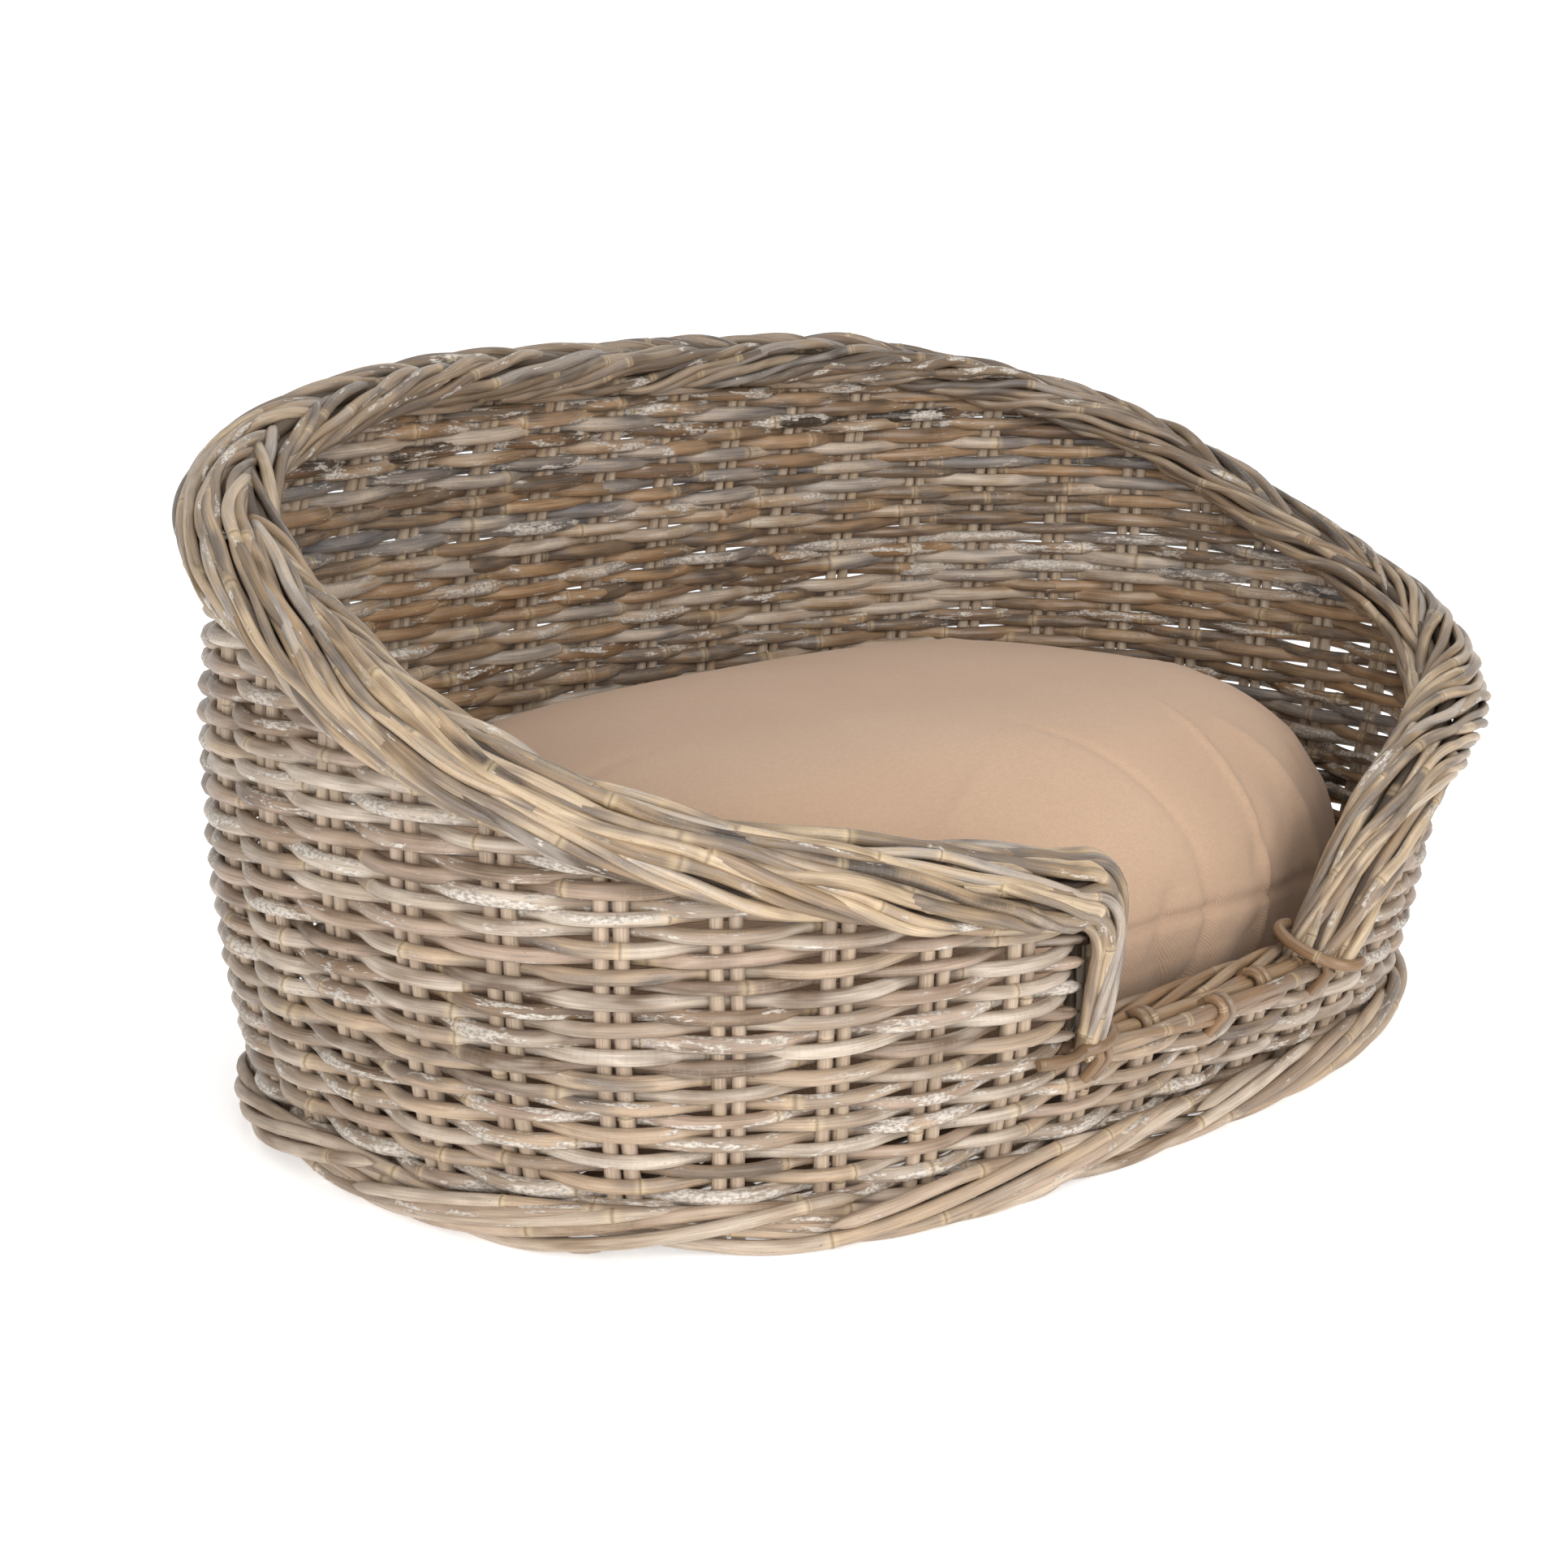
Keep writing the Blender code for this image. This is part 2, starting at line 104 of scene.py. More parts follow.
PHI_TABLE = np.linspace(math.pi / 2, -math.pi / 2, 20001)
_x, _y = oval(PHI_TABLE, HEIGHT / 2)
ARC_TABLE = np.concatenate([[0.0], np.cumsum(np.hypot(np.diff(_x), np.diff(_y)))])
HALF_GIRTH = float(ARC_TABLE[-1])
ARM_ARC = HALF_GIRTH - ARM_END_FROM_FRONT
PITCH = 2 * HALF_GIRTH / STAKE_PAIRS


def wall_normal(arc):
    """Outward level direction of the wall at arc round it."""
    arc = (np.asarray(arc, float) + HALF_GIRTH) % (2 * HALF_GIRTH) - HALF_GIRTH
    phi = np.interp(np.abs(arc), ARC_TABLE, PHI_TABLE)
    mid_x, mid_y = oval(phi, HEIGHT / 2)
    half_width = (FLOOR_HALF_WIDTH + TOP_HALF_WIDTH) / 2 + WALL_BULGE
    half_depth = (FLOOR_HALF_DEPTH + TOP_HALF_DEPTH) / 2 + WALL_BULGE
    rel_y = mid_y - (FLOOR_CENTRE_Y + TOP_CENTRE_Y) / 2
    nx = np.abs(mid_x / half_width) ** (OVAL_POWER - 1) / half_width
    ny = np.sign(rel_y) * np.abs(rel_y / half_depth) ** (OVAL_POWER - 1) / half_depth
    size = np.hypot(nx, ny)
    side = np.where(arc >= 0, 1.0, -1.0)
    return side * nx / size, ny / size


def wall(arc, z, out=0.0):
    """Points of the wall at arc round it from the middle of the back, height z and distance out."""
    arc, z, out = np.broadcast_arrays(np.asarray(arc, float), np.asarray(z, float), np.asarray(out, float))
    arc = (arc + HALF_GIRTH) % (2 * HALF_GIRTH) - HALF_GIRTH
    phi = np.interp(np.abs(arc), ARC_TABLE, PHI_TABLE)
    x, y = oval(phi, z)
    nx, ny = wall_normal(arc)
    side = np.where(arc >= 0, 1.0, -1.0)
    return np.stack([side * x + out * nx, y + out * ny, z], axis=-1)


def rim_height(arc):
    """Height of the rim's middle line, the same curve as in the CAD."""
    share = np.minimum(np.abs(np.asarray(arc, float)) / ARM_ARC, 1.0)
    knots = np.array(RIM_PROFILE)
    slope = np.gradient(knots[:, 1], knots[:, 0])
    slope[0] = 0.0
    i = np.clip(np.searchsorted(knots[:, 0], share, side="right") - 1, 0, len(knots) - 2)
    width = knots[i + 1, 0] - knots[i, 0]
    t = (share - knots[i, 0]) / width
    height = ((2 * t**3 - 3 * t**2 + 1) * knots[i, 1] + (t**3 - 2 * t**2 + t) * width * slope[i]
              + (3 * t**2 - 2 * t**3) * knots[i + 1, 1] + (t**3 - t**2) * width * slope[i + 1])
    dip = np.clip((np.asarray(arc, float) - ARM_ARC + RIGHT_DIP_RUN) / RIGHT_DIP_RUN, 0, 1)
    return height - RIGHT_DIP * dip**2


def stake_arc(index):
    """Place round the wall of one stake pair."""
    return -HALF_GIRTH + index * PITCH


def smooth_path(points, step=0.005):
    """An even curve through points, one point to each step of its length."""
    p = np.asarray(points, float)
    p = np.vstack([2 * p[0] - p[1], p, 2 * p[-1] - p[-2]])
    curve = []
    t = np.linspace(0, 1, 12, endpoint=False)[:, None]
    for a, b, c, d in zip(p[:-3], p[1:-2], p[2:-1], p[3:]):
        square, cube = 2 * a - 5 * b + 4 * c - d, 3 * b - a - 3 * c + d
        curve.append(0.5 * (2 * b + (c - a) * t + square * t**2 + cube * t**3))
    curve = np.vstack(curve + [p[-2:-1]])
    length = np.concatenate([[0], np.cumsum(np.linalg.norm(np.diff(curve, axis=0), axis=1))])
    count = max(4, int(length[-1] / step))
    at = np.linspace(0, length[-1], count)
    return np.stack([np.interp(at, length, curve[:, k]) for k in range(curve.shape[1])], axis=1)


JOINT_END = 0.004  # nearest that a joint comes to a cane's end
JOINT_HALF_LENGTH = 0.0013
CUT_SHARE = 0.16  # share of its thickness that a pared end keeps


class Canes:
    """Canes gathered into one piece, with the data that the cane material reads along each one."""

    def __init__(self, seed):
        self.rng = np.random.default_rng(seed)
        self.points, self.position, self.joint, self.identity = [], [], [], []
        self.loops, self.starts, self.totals = [], [], []
        self.count = self.loop_count = 0

    def add(self, path, radius, up, sides=8, tone=0.0, tips=(0.0, 0.0), knuckle=0.10):
        """A cane along path. up is the direction that its material takes as outwards, tone is 0 for its
        first palette and 1 for its second, tips are the lengths over which its two ends taper to a cut
        and knuckle is the share by which it swells at its joints."""
        rng = self.rng
        path = np.asarray(path, float)
        along = np.concatenate([[0], np.cumsum(np.linalg.norm(np.diff(path, axis=0), axis=1))])
        length = along[-1]
        spacing = rng.uniform(0.090, 0.260)
        joints = np.arange(rng.uniform(0.1, 1.0) * spacing, length - JOINT_END, spacing)
        joints = joints[joints > JOINT_END]
        extra = [joints + d for d in (-0.0022, -0.0007, 0.0, 0.0007, 0.0022)]
        u = np.unique(np.clip(np.concatenate([along, *extra]), 0, length))
        p = np.stack([np.interp(u, along, path[:, k]) for k in range(3)], axis=1)
        up = np.broadcast_to(np.asarray(up, float), (len(path), 3))
        normal = np.stack([np.interp(u, along, up[:, k]) for k in range(3)], axis=1)
        smooth = np.stack([np.interp(u, along, np.gradient(path, axis=0)[:, k]) for k in range(3)], axis=1)
        tangent = smooth / np.maximum(np.linalg.norm(smooth, axis=1, keepdims=True), 1e-9)
        normal = normal - (normal * tangent).sum(1, keepdims=True) * tangent
        normal /= np.maximum(np.linalg.norm(normal, axis=1, keepdims=True), 1e-9)
        across = np.cross(tangent, normal)
        r = np.interp(u, np.linspace(0, length, np.size(radius)), np.ravel(radius))
        radius = float(np.mean(radius))
        waves = rng.uniform(0, 2 * math.pi, 3)
        r *= 1 + 0.035 * np.sin(u * 55 + waves[0]) + 0.025 * np.sin(u * 131 + waves[1])
        if len(joints):
            near = np.abs(u[:, None] - joints[None, :]).min(1)
            r *= 1 + knuckle * np.exp(-((near / JOINT_HALF_LENGTH) ** 2))
        for tip, from_end in zip(tips, (u, length - u)):
            if tip:
                r *= np.clip(CUT_SHARE + (1 - CUT_SHARE) * from_end / tip, 0, 1)
        flat = 1 + 0.05 * math.sin(waves[2])
        angle = 2 * math.pi * np.arange(sides) / sides
        c, s = np.cos(angle), np.sin(angle)
        ring = (p[:, None, :] + (r[:, None] * c[None, :])[..., None] * normal[:, None, :] * flat
                + (r[:, None] * s[None, :])[..., None] * across[:, None, :] / flat)
        seed = rng.uniform()
        offset = rng.integers(0, 50)
        knots = np.concatenate([[-0.02], joints, [length + 0.02]])
        joint = offset + np.interp(u, knots, np.arange(len(knots)))
        rings = len(u)
        self.points.append(ring.reshape(-1, 3))
        place = [np.repeat(u, sides), np.tile(c * radius, rings), np.tile(s * radius, rings)]
        self.position.append(np.stack(place, 1))
        self.joint.append(np.repeat(joint, sides))
        self.identity.append(np.tile([seed, tone, 0.0], (rings * sides, 1)))
        i = np.arange(rings - 1)[:, None] * sides + np.arange(sides)[None, :]
        j = np.arange(rings - 1)[:, None] * sides + (np.arange(sides)[None, :] + 1) % sides
        quads = np.stack([i, j, j + sides, i + sides], axis=-1).reshape(-1, 4) + self.count
        caps = np.stack([np.arange(sides)[::-1], np.arange(sides) + (rings - 1) * sides]) + self.count
        for block in (quads, caps):
            self.loops.append(block.reshape(-1))
            size = block.shape[1]
            self.starts.append(self.loop_count + np.arange(len(block)) * size)
            self.totals.append(np.full(len(block), size))
            self.loop_count += block.size
        self.count += rings * sides

    def add_on_wall(self, arc, z, out, radius, **options):
        """A cane that follows the wall, with the wall's outward direction as its own."""
        self.add(wall(arc, z, out), radius, out_direction(arc), **options)

    def build(self, name, material, body, slot, nodes=()):
        """Makes the piece; nodes are the CAD solids that it stands in for."""
        mesh = bpy.data.meshes.new(name)
        points = np.vstack(self.points)
        loops = np.concatenate(self.loops)
        starts, totals = np.concatenate(self.starts), np.concatenate(self.totals)
        mesh.vertices.add(len(points))
        mesh.vertices.foreach_set("co", points.astype(np.float32).ravel())
        mesh.loops.add(len(loops))
        mesh.loops.foreach_set("vertex_index", loops.astype(np.int32))
        mesh.polygons.add(len(starts))
        mesh.polygons.foreach_set("loop_start", starts.astype(np.int32))
        mesh.polygons.foreach_set("loop_total", totals.astype(np.int32))
        mesh.polygons.foreach_set("use_smooth", totals == 4)
        mesh.update(calc_edges=True)
        mesh.validate()
        for label, kind, data in (("cane_pos", "FLOAT_VECTOR", np.vstack(self.position)),
                                  ("cane_id", "FLOAT_VECTOR", np.vstack(self.identity)),
                                  ("cane_joint", "FLOAT", np.concatenate(self.joint))):
            layer = mesh.attributes.new(label, kind, "POINT")
            field = "vector" if kind == "FLOAT_VECTOR" else "value"
            layer.data.foreach_set(field, data.astype(np.float32).ravel())
        mesh.materials.append(material)
        obj = bpy.data.objects.new(name, mesh)
        bpy.context.scene.collection.objects.link(obj)
        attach(obj, body)
        if nodes:
            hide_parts(*nodes)
        return obj


def out_direction(arc):
    """Level outward direction of the wall, as vectors."""
    nx, ny = wall_normal(arc)
    return np.stack([nx, ny, np.zeros_like(nx)], axis=-1)


# ---------------------------------------------------------------- materials

def rgb(r, g, b):
    """Linear colour from the usual 0 to 255 values."""
    linear = [v / 255 / 12.92 if v <= 10 else ((v / 255 + 0.055) / 1.055) ** 2.4 for v in (r, g, b)]
    return (*linear, 1.0)


class Graph:
    """Short names for the shader nodes that the materials are built from."""

    def __init__(self, name):
        self.material = bpy.data.materials.new(name)
        self.material.use_nodes = True
        self.tree = self.material.node_tree
        self.shader = self.tree.nodes["Principled BSDF"]

    def put(self, socket, value):
        if isinstance(value, bpy.types.NodeSocket):
            self.tree.links.new(value, socket)
        elif value is not None:
            socket.default_value = value

    def node(self, kind, *values, **settings):
        """A new node with its settings, and with values or links for its first sockets."""
        node = self.tree.nodes.new("ShaderNode" + kind)
        for key, value in settings.items():
            setattr(node, key, value)
        for socket, value in zip(node.inputs, values):
            self.put(socket, value)
        return node

    def math(self, operation, a, b=None):
        return self.node("Math", a, b, operation=operation).outputs[0]

    def add(self, a, b):
        return self.math("ADD", a, b)

    def sub(self, a, b):
        return self.math("SUBTRACT", a, b)

    def mul(self, a, b):
        return self.math("MULTIPLY", a, b)

    def vector(self, operation, a, b):
        return self.node("VectorMath", a, b, operation=operation).outputs[0]

    def attribute(self, name):
        return self.node("Attribute", attribute_name=name)

    def split(self, vector):
        return self.node("SeparateXYZ", vector).outputs

    def join(self, x, y, z):
        return self.node("CombineXYZ", x, y, z).outputs[0]

    def noise(self, vector, scale, detail=3.0, roughness=0.5):
        node = self.node("TexNoise", vector)
        for socket, value in (("Scale", scale), ("Detail", detail), ("Roughness", roughness)):
            node.inputs[socket].default_value = value
        return node.outputs["Fac"]

    def hash(self, a, b):
        return self.node("TexWhiteNoise", self.join(a, b, 0.0), noise_dimensions="2D").outputs["Value"]

    def step(self, value, low, high, to=(0.0, 1.0)):
        """A smooth step from to[0] below low to to[1] above high."""
        return self.node("MapRange", value, low, high, *to, interpolation_type="SMOOTHSTEP").outputs[0]

    def ramp(self, value, stops):
        node = self.node("ValToRGB", value)
        elements = node.color_ramp.elements
        while len(elements) < len(stops):
            elements.new(0.5)
        for element, (place, colour) in zip(elements, stops):
            element.position = place
            element.color = colour
        return node.outputs[0]

    def mix(self, share, a, b, blend="MIX"):
        node = self.node("Mix", share, data_type="RGBA", blend_type=blend)
        self.put(node.inputs[6], a)
        self.put(node.inputs[7], b)
        return node.outputs[2]

    def bump(self, height, distance, strength):
        node = self.node("Bump")
        node.inputs["Strength"].default_value = strength
        node.inputs["Distance"].default_value = distance
        self.put(node.inputs["Height"], height)
        self.tree.links.new(node.outputs[0], self.shader.inputs["Normal"])


def palette(*colours):
    """Colours as evenly spaced stops of a ramp."""
    last = len(colours) - 1
    return [(i / last, rgb(*c)) for i, c in enumerate(colours)]


def cane_material(name, outside, inside, flake=0.5, rough=(0.50, 0.34), bump=0.00035, by_tone=False):
    """Weathered rattan cane: a tone for each cane and each length between its joints, streaks along
    it, silvery flaking, dark peeling, specks and a ring at each joint. outside is the palette of its
    outer side and inside that of its inner one; with by_tone the cane's own tone picks between them."""
    g = Graph(name)
    pos = g.attribute("cane_pos").outputs["Vector"]
    seed, tone, _ = g.split(g.attribute("cane_id").outputs["Vector"])
    joint = g.attribute("cane_joint").outputs["Fac"]
    u, c, s = g.split(pos)
    inner = g.step(c, -0.0012, 0.0012, (1.0, 0.0))
    # With by_tone the cane's tone alone picks the palette; on the rim that tone is painted shade.
    inner = tone if by_tone else g.math("MAXIMUM", inner, tone)
    shift = g.join(*[g.mul(seed, factor) for factor in (91.0, 57.0, 23.0)])

    def grain(along, across, detail, roughness=0.5, offset=shift):
        """Noise that differs from cane to cane, with its scales along and across the cane."""
        place = g.vector("ADD", g.vector("MULTIPLY", pos, (along, across, across)), offset)
        return g.noise(place, 1.0, detail, roughness)

    length = g.math("FLOOR", joint)
    pick = g.add(g.mul(g.hash(seed, 3.0), 0.72),
                  g.mul(g.hash(seed, g.add(length, 11.0)), 0.28))
    wander = grain(22.0, 90.0, 2.0)
    pick = g.add(pick, g.mul(g.sub(wander, 0.5), 0.55))
    colour = g.mix(inner, g.ramp(pick, outside), g.ramp(pick, inside))
    streak = grain(26.0, 1100.0, 4.0, 0.6)
    shade = g.ramp(streak, [(0.25, (0.50, 0.47, 0.44, 1)), (0.50, (0.98, 0.98, 0.98, 1)),
                            (0.75, (1.28, 1.26, 1.22, 1))])
    colour = g.mix(0.85, colour, shade, "MULTIPLY")
    worn = grain(38.0, 170.0, 6.0, 0.68)
    flaking = g.mul(g.hash(seed, 7.0), 0.20 * flake + 0.10)
    amount = g.sub(0.80 - 0.13 * flake, flaking)
    flakes = g.step(worn, amount, g.add(amount, 0.012))
    fine = grain(420.0, 700.0, 3.0)
    silver = g.ramp(fine, [(0.38, rgb(150, 140, 128)), (0.55, rgb(206, 198, 188)), (0.8, rgb(226, 220, 210))])
    colour = g.mix(g.mul(flakes, 0.85), colour, silver)
    peel = grain(55.0, 240.0, 5.0, 0.7, g.vector("MULTIPLY", shift, (2.0, 3.0, 4.0)))
    dark = g.step(peel, g.sub(0.78, g.mul(g.hash(seed, 19.0), 0.16)), 0.80)
    colour = g.mix(g.mul(dark, 0.72), colour, rgb(66, 54, 44))
    specks = g.step(grain(650.0, 900.0, 2.0), 0.70, 0.74)
    colour = g.mix(g.mul(specks, 0.55), colour, rgb(78, 62, 48))
    near = g.math("ABSOLUTE", g.sub(g.math("FRACT", g.add(joint, 0.5)), 0.5))
    ring = g.step(near, 0.0, 0.010, (1.0, 0.0))
    pale = g.step(near, 0.010, 0.035, (1.0, 0.0))
    colour = g.mix(g.mul(pale, 0.30), colour, rgb(214, 190, 150))
    colour = g.mix(g.mul(ring, 0.50), colour, rgb(84, 66, 50))
    g.put(g.shader.inputs["Base Color"], colour)
    base_rough = g.step(inner, 0.0, 1.0, rough)
    roughness = g.add(base_rough, g.mul(g.math("MAXIMUM", flakes, dark), 0.22))
    roughness = g.add(roughness, g.mul(g.sub(streak, 0.5), 0.25))
    g.put(g.shader.inputs["Roughness"], roughness)
    g.shader.inputs["Specular IOR Level"].default_value = 0.45
    height = g.add(streak, g.mul(flakes, 0.35))
    height = g.sub(height, g.mul(ring, 0.9))
    g.bump(height, bump, 0.8)
    return g.material


TAUPE = palette((68, 60, 55), (124, 102, 80), (172, 150, 132), (98, 78, 60),
                (200, 186, 170), (144, 126, 108), (182, 158, 132), (84, 78, 75))
WARM = palette((44, 38, 34), (122, 94, 68), (166, 134, 100), (88, 76, 66),
               (150, 122, 92), (192, 176, 158), (134, 126, 120), (70, 74, 80))
CREAM = palette((56, 46, 38), (162, 136, 106), (122, 106, 92), (198, 176, 146), (138, 116, 90),
                (104, 94, 86), (188, 164, 134), (168, 158, 148), (82, 68, 56))
FOOT_TONE = palette((104, 92, 82), (146, 124, 102), (182, 160, 140), (128, 106, 84),
                    (196, 180, 162), (158, 140, 122), (184, 160, 132), (112, 104, 98))
# A darker copy of CREAM: painted shade for the rim's back and right side.
RIM_SHADED = palette((40, 33, 28), (122, 100, 78), (94, 82, 72), (152, 134, 114), (108, 90, 70),
                   (88, 80, 74), (146, 124, 100), (140, 132, 124), (62, 52, 44))
# Dark palette for the core canes inside the rim: painted shade in the gaps of the plait.
CORE_SHADE_TONE = palette((62, 52, 43), (80, 66, 53), (96, 82, 67))
STAKE_OUT = palette((150, 130, 112), (176, 156, 138), (186, 166, 144), (158, 138, 118), (168, 148, 132))
STAKE_IN = palette((140, 120, 100), (164, 146, 126), (180, 164, 146), (150, 124, 96))
SILL_TONE = palette((96, 78, 60), (140, 112, 82), (162, 138, 112),
                    (124, 108, 94), (138, 106, 74), (150, 136, 120))
TIE_TONE = palette((112, 88, 64), (136, 108, 80), (130, 112, 94))

WEAVE_MATERIAL = cane_material("weaver_cane", TAUPE, WARM, 0.70, (0.38, 0.30))
STAKE_MATERIAL = cane_material("stake_cane", STAKE_OUT, STAKE_IN, 0.10, (0.42, 0.16))
# On the rim the tone picks the palette: the darker one is painted shade over the back.
RIM_MATERIAL = cane_material("rim_cane", CREAM, RIM_SHADED, 0.45, (0.34, 0.34), by_tone=True)
# Painted shade: the core canes are coloured dark so that the plait's gaps look shaded.
CORE_SHADE_MATERIAL = cane_material("core_cane", CORE_SHADE_TONE, CORE_SHADE_TONE, 0.10, (0.60, 0.60))
SILL_MATERIAL = cane_material("sill_cane", SILL_TONE, SILL_TONE, 0.30, (0.38, 0.38))
FOOT_MATERIAL = cane_material("foot_cane", FOOT_TONE, FOOT_TONE, 0.55, (0.52, 0.50))
TIE_MATERIAL = cane_material("tie_cane", TIE_TONE, TIE_TONE, 0.05, (0.24, 0.24))
BASE_MATERIAL = cane_material("base_cane", WARM, WARM, 0.30, (0.60, 0.60))


# ---------------------------------------------------------------- woven wall

def weave_wave(arc, flip):
    """Share of the full swing out of the wall, +1 in front of one stake pair and -1 behind the next."""
    turn = math.pi * (arc + HALF_GIRTH) / PITCH
    c = np.cos(turn) * (1 if flip else -1)
    return c * (1.22 - 0.22 * c * c)


def row_pieces(rng, low, high):
    """Ends of the separate canes of one row: each starts at a stake pair where the last one ended."""
    cuts = []
    at = low + rng.uniform(0.3, 1.1)
    while at < high - 0.30:
        index = round((at + HALF_GIRTH) / PITCH)
        cuts.append(stake_arc(index))
        at += rng.uniform(0.55, 1.25)
    edges = [low] + cuts + [high]
    return list(zip(edges[:-1], edges[1:]))


def add_row(canes, z, low, high, number, closed):
    """One row of weaving at height z between two places round the wall, or all the way round it."""
    rng = canes.rng
    for start, end in row_pieces(rng, low, high):
        radius = WEAVER_R * rng.uniform(0.90, 1.12)
        a = start - (ROW_OVERLAP if start > low or closed else 0.0)
        b = end + (ROW_OVERLAP if end < high or closed else 0.0)
        arc = np.linspace(a, b, max(8, int((b - a) / ROW_STEP)))
        swing = WEAVE_OUT + 0.4 * (radius - WEAVER_R)
        radius = radius * (1 + BACK_THICKER * (0.5 + 0.5 * np.cos(math.pi * arc / HALF_GIRTH)))
        phase = rng.uniform(0, 2 * math.pi, 4)
        out = swing * weave_wave(arc, number % 2) * (1 + 0.05 * np.sin(arc * 9 + phase[0]))
        out = out + 0.0005 * np.sin(arc * 31 + phase[1])
        height = z + 0.0007 * np.sin(arc * 14 + phase[2]) + 0.0006 * np.sin(arc * 43 + phase[3])
        canes.add_on_wall(arc, height, out, radius, tips=CUT)


UPPER_PIECES = 6


def rim_reach(z, side):
    """Distance round the wall to where the rim comes down to a row at height z, on one side."""
    arcs = np.linspace(0, ARM_ARC, 1200)
    hidden = rim_height(side * arcs) - RIM_TUCK > z
    return float(arcs[hidden].max()) if hidden.any() else 0.0


def build_weave():
    """The rows that run all round below the sill, then those that end at the arms, in six pieces."""
    rows_low = int((SILL_Z - 0.0100) / ROW_PITCH) + 1
    z = SILL_Z - 0.0036 - ROW_PITCH * np.arange(rows_low)[::-1]
    canes = Canes(101)
    for number, height in enumerate(z):
        add_row(canes, height, -HALF_GIRTH, HALF_GIRTH, number, True)
    canes.build("weave_lower_rows", WEAVE_MATERIAL, "basket", "weaver_cane", ("lower_weave",))
    number = len(z)
    height = z[-1] + ROW_PITCH
    rows = []
    while rim_reach(height, -1) > 0.02:
        rows.append((number, height))
        number += 1
        height += ROW_PITCH
    group = math.ceil(len(rows) / UPPER_PIECES)
    for k in range(UPPER_PIECES):
        canes = Canes(200 + k)
        for number, height in rows[k * group:(k + 1) * group]:
            left, right = (rim_reach(height, side) for side in (-1, 1))
            left += 0.012 if left > ARM_ARC - 0.002 else 0.0
            right += 0.010 if right > ARM_ARC - 0.002 else 0.0
            add_row(canes, height, -left, right, number, False)
        canes.build(f"weave_rows_{k + 1}", WEAVE_MATERIAL, "basket", "weaver_cane", ("upper_weave",))


def build_stakes():
    """The stakes, two canes side by side in each pair."""
    for index in range(STAKE_PAIRS):
        canes = Canes(300 + index)
        arc = stake_arc(index)
        tall = abs(arc) < ARM_ARC
        top = float(rim_height(arc)) - 0.004 if tall else SILL_Z - 0.001
        for side in (-1, 1):
            rng = canes.rng
            z = np.linspace(0.004, top, max(6, int(top / 0.008)))
            phase = rng.uniform(0, 2 * math.pi, 2)
            drift = 0.0006 * np.sin(z * 40 + phase[0])
            out = 0.0006 * np.sin(z * 55 + phase[1])
            share = z / HEIGHT
            at = arc + side * (STAKE_SHIFT[0] + (STAKE_SHIFT[1] - STAKE_SHIFT[0]) * share) + drift
            radius = (STAKE_R[0] + (STAKE_R[1] - STAKE_R[0]) * share) * rng.uniform(0.94, 1.08)
            canes.add_on_wall(at, z, out, radius, sides=10, knuckle=0.06)
        number = f"{index + 1:02d}"
        canes.build(f"stakes_{number}", STAKE_MATERIAL, "basket", "stake_cane", (f"stake_pair_{number}",))


# ---------------------------------------------------------------- foot border and base

FOOT_STRANDS, FOOT_PIECES = 6, 3
FOOT_TWIST = 2 * math.pi / (6.4 * PITCH)  # one full twist to 6.4 stake pairs
FOOT_OUT, FOOT_SWING = 0.0120, 0.0052
FOOT_MIDDLE, FOOT_RISE = 0.0118, 0.0116
FOOT_OVERLAP = 0.01


def build_foot():
    """The border round the foot: strands twisted into one flat rope, each of several canes."""
    canes = Canes(400)
    girth = 2 * HALF_GIRTH
    for k in range(FOOT_STRANDS):
        start = -HALF_GIRTH + girth * k / FOOT_STRANDS * 0.37
        for n in range(FOOT_PIECES):
            a = start + girth * n / FOOT_PIECES - FOOT_OVERLAP
            b = start + girth * (n + 1) / FOOT_PIECES + FOOT_OVERLAP
            arc = np.linspace(a, b, int((b - a) / 0.0065))
            turn = FOOT_TWIST * arc + 2 * math.pi * k / FOOT_STRANDS
            shape = 0.10 * np.sin(2 * turn)
            out = FOOT_OUT + FOOT_SWING * np.sin(turn + shape) + 0.0006 * np.sin(arc * 37 + k)
            z = FOOT_R + FOOT_MIDDLE + FOOT_RISE * np.cos(turn + shape)
            radius = FOOT_R * canes.rng.uniform(0.90, 1.0)
            canes.add_on_wall(arc, z, out, radius, sides=10, tips=LONG_CUT)
    canes.build("foot_border", FOOT_MATERIAL, "basket", "foot_cane", ("foot_cane_1", "foot_cane_2", "foot_cane_3"))


BASE_EDGE = -0.0125  # the base's edge, out from the wall's middle surface
BASE_LEVEL = 0.016
BASE_ROW_PITCH, BASE_CANE_R, BASE_WARP_R = 0.0066, 0.0025, 0.0024
BASE_WARP_PITCH = 0.062  # between the pairs of canes that the base's rows are woven over
BASE_DROP = 0.0011  # the base's canes lie this far below the middle of its CAD solid
HOOP_OUT, HOOP_TWIST, HOOP_SWING, HOOP_R = -0.0153, 0.16, 0.0017, 0.0025
BASE_STICK_R = 0.0036


def base_span(y):
    """Half length of the base at y, to the wall's inner side."""
    arcs = np.linspace(0, HALF_GIRTH, 1500)
    line = wall(arcs, BASE_LEVEL, BASE_EDGE)
    order = np.argsort(line[:, 1])
    return float(np.interp(y, line[order, 1], line[order, 0]))


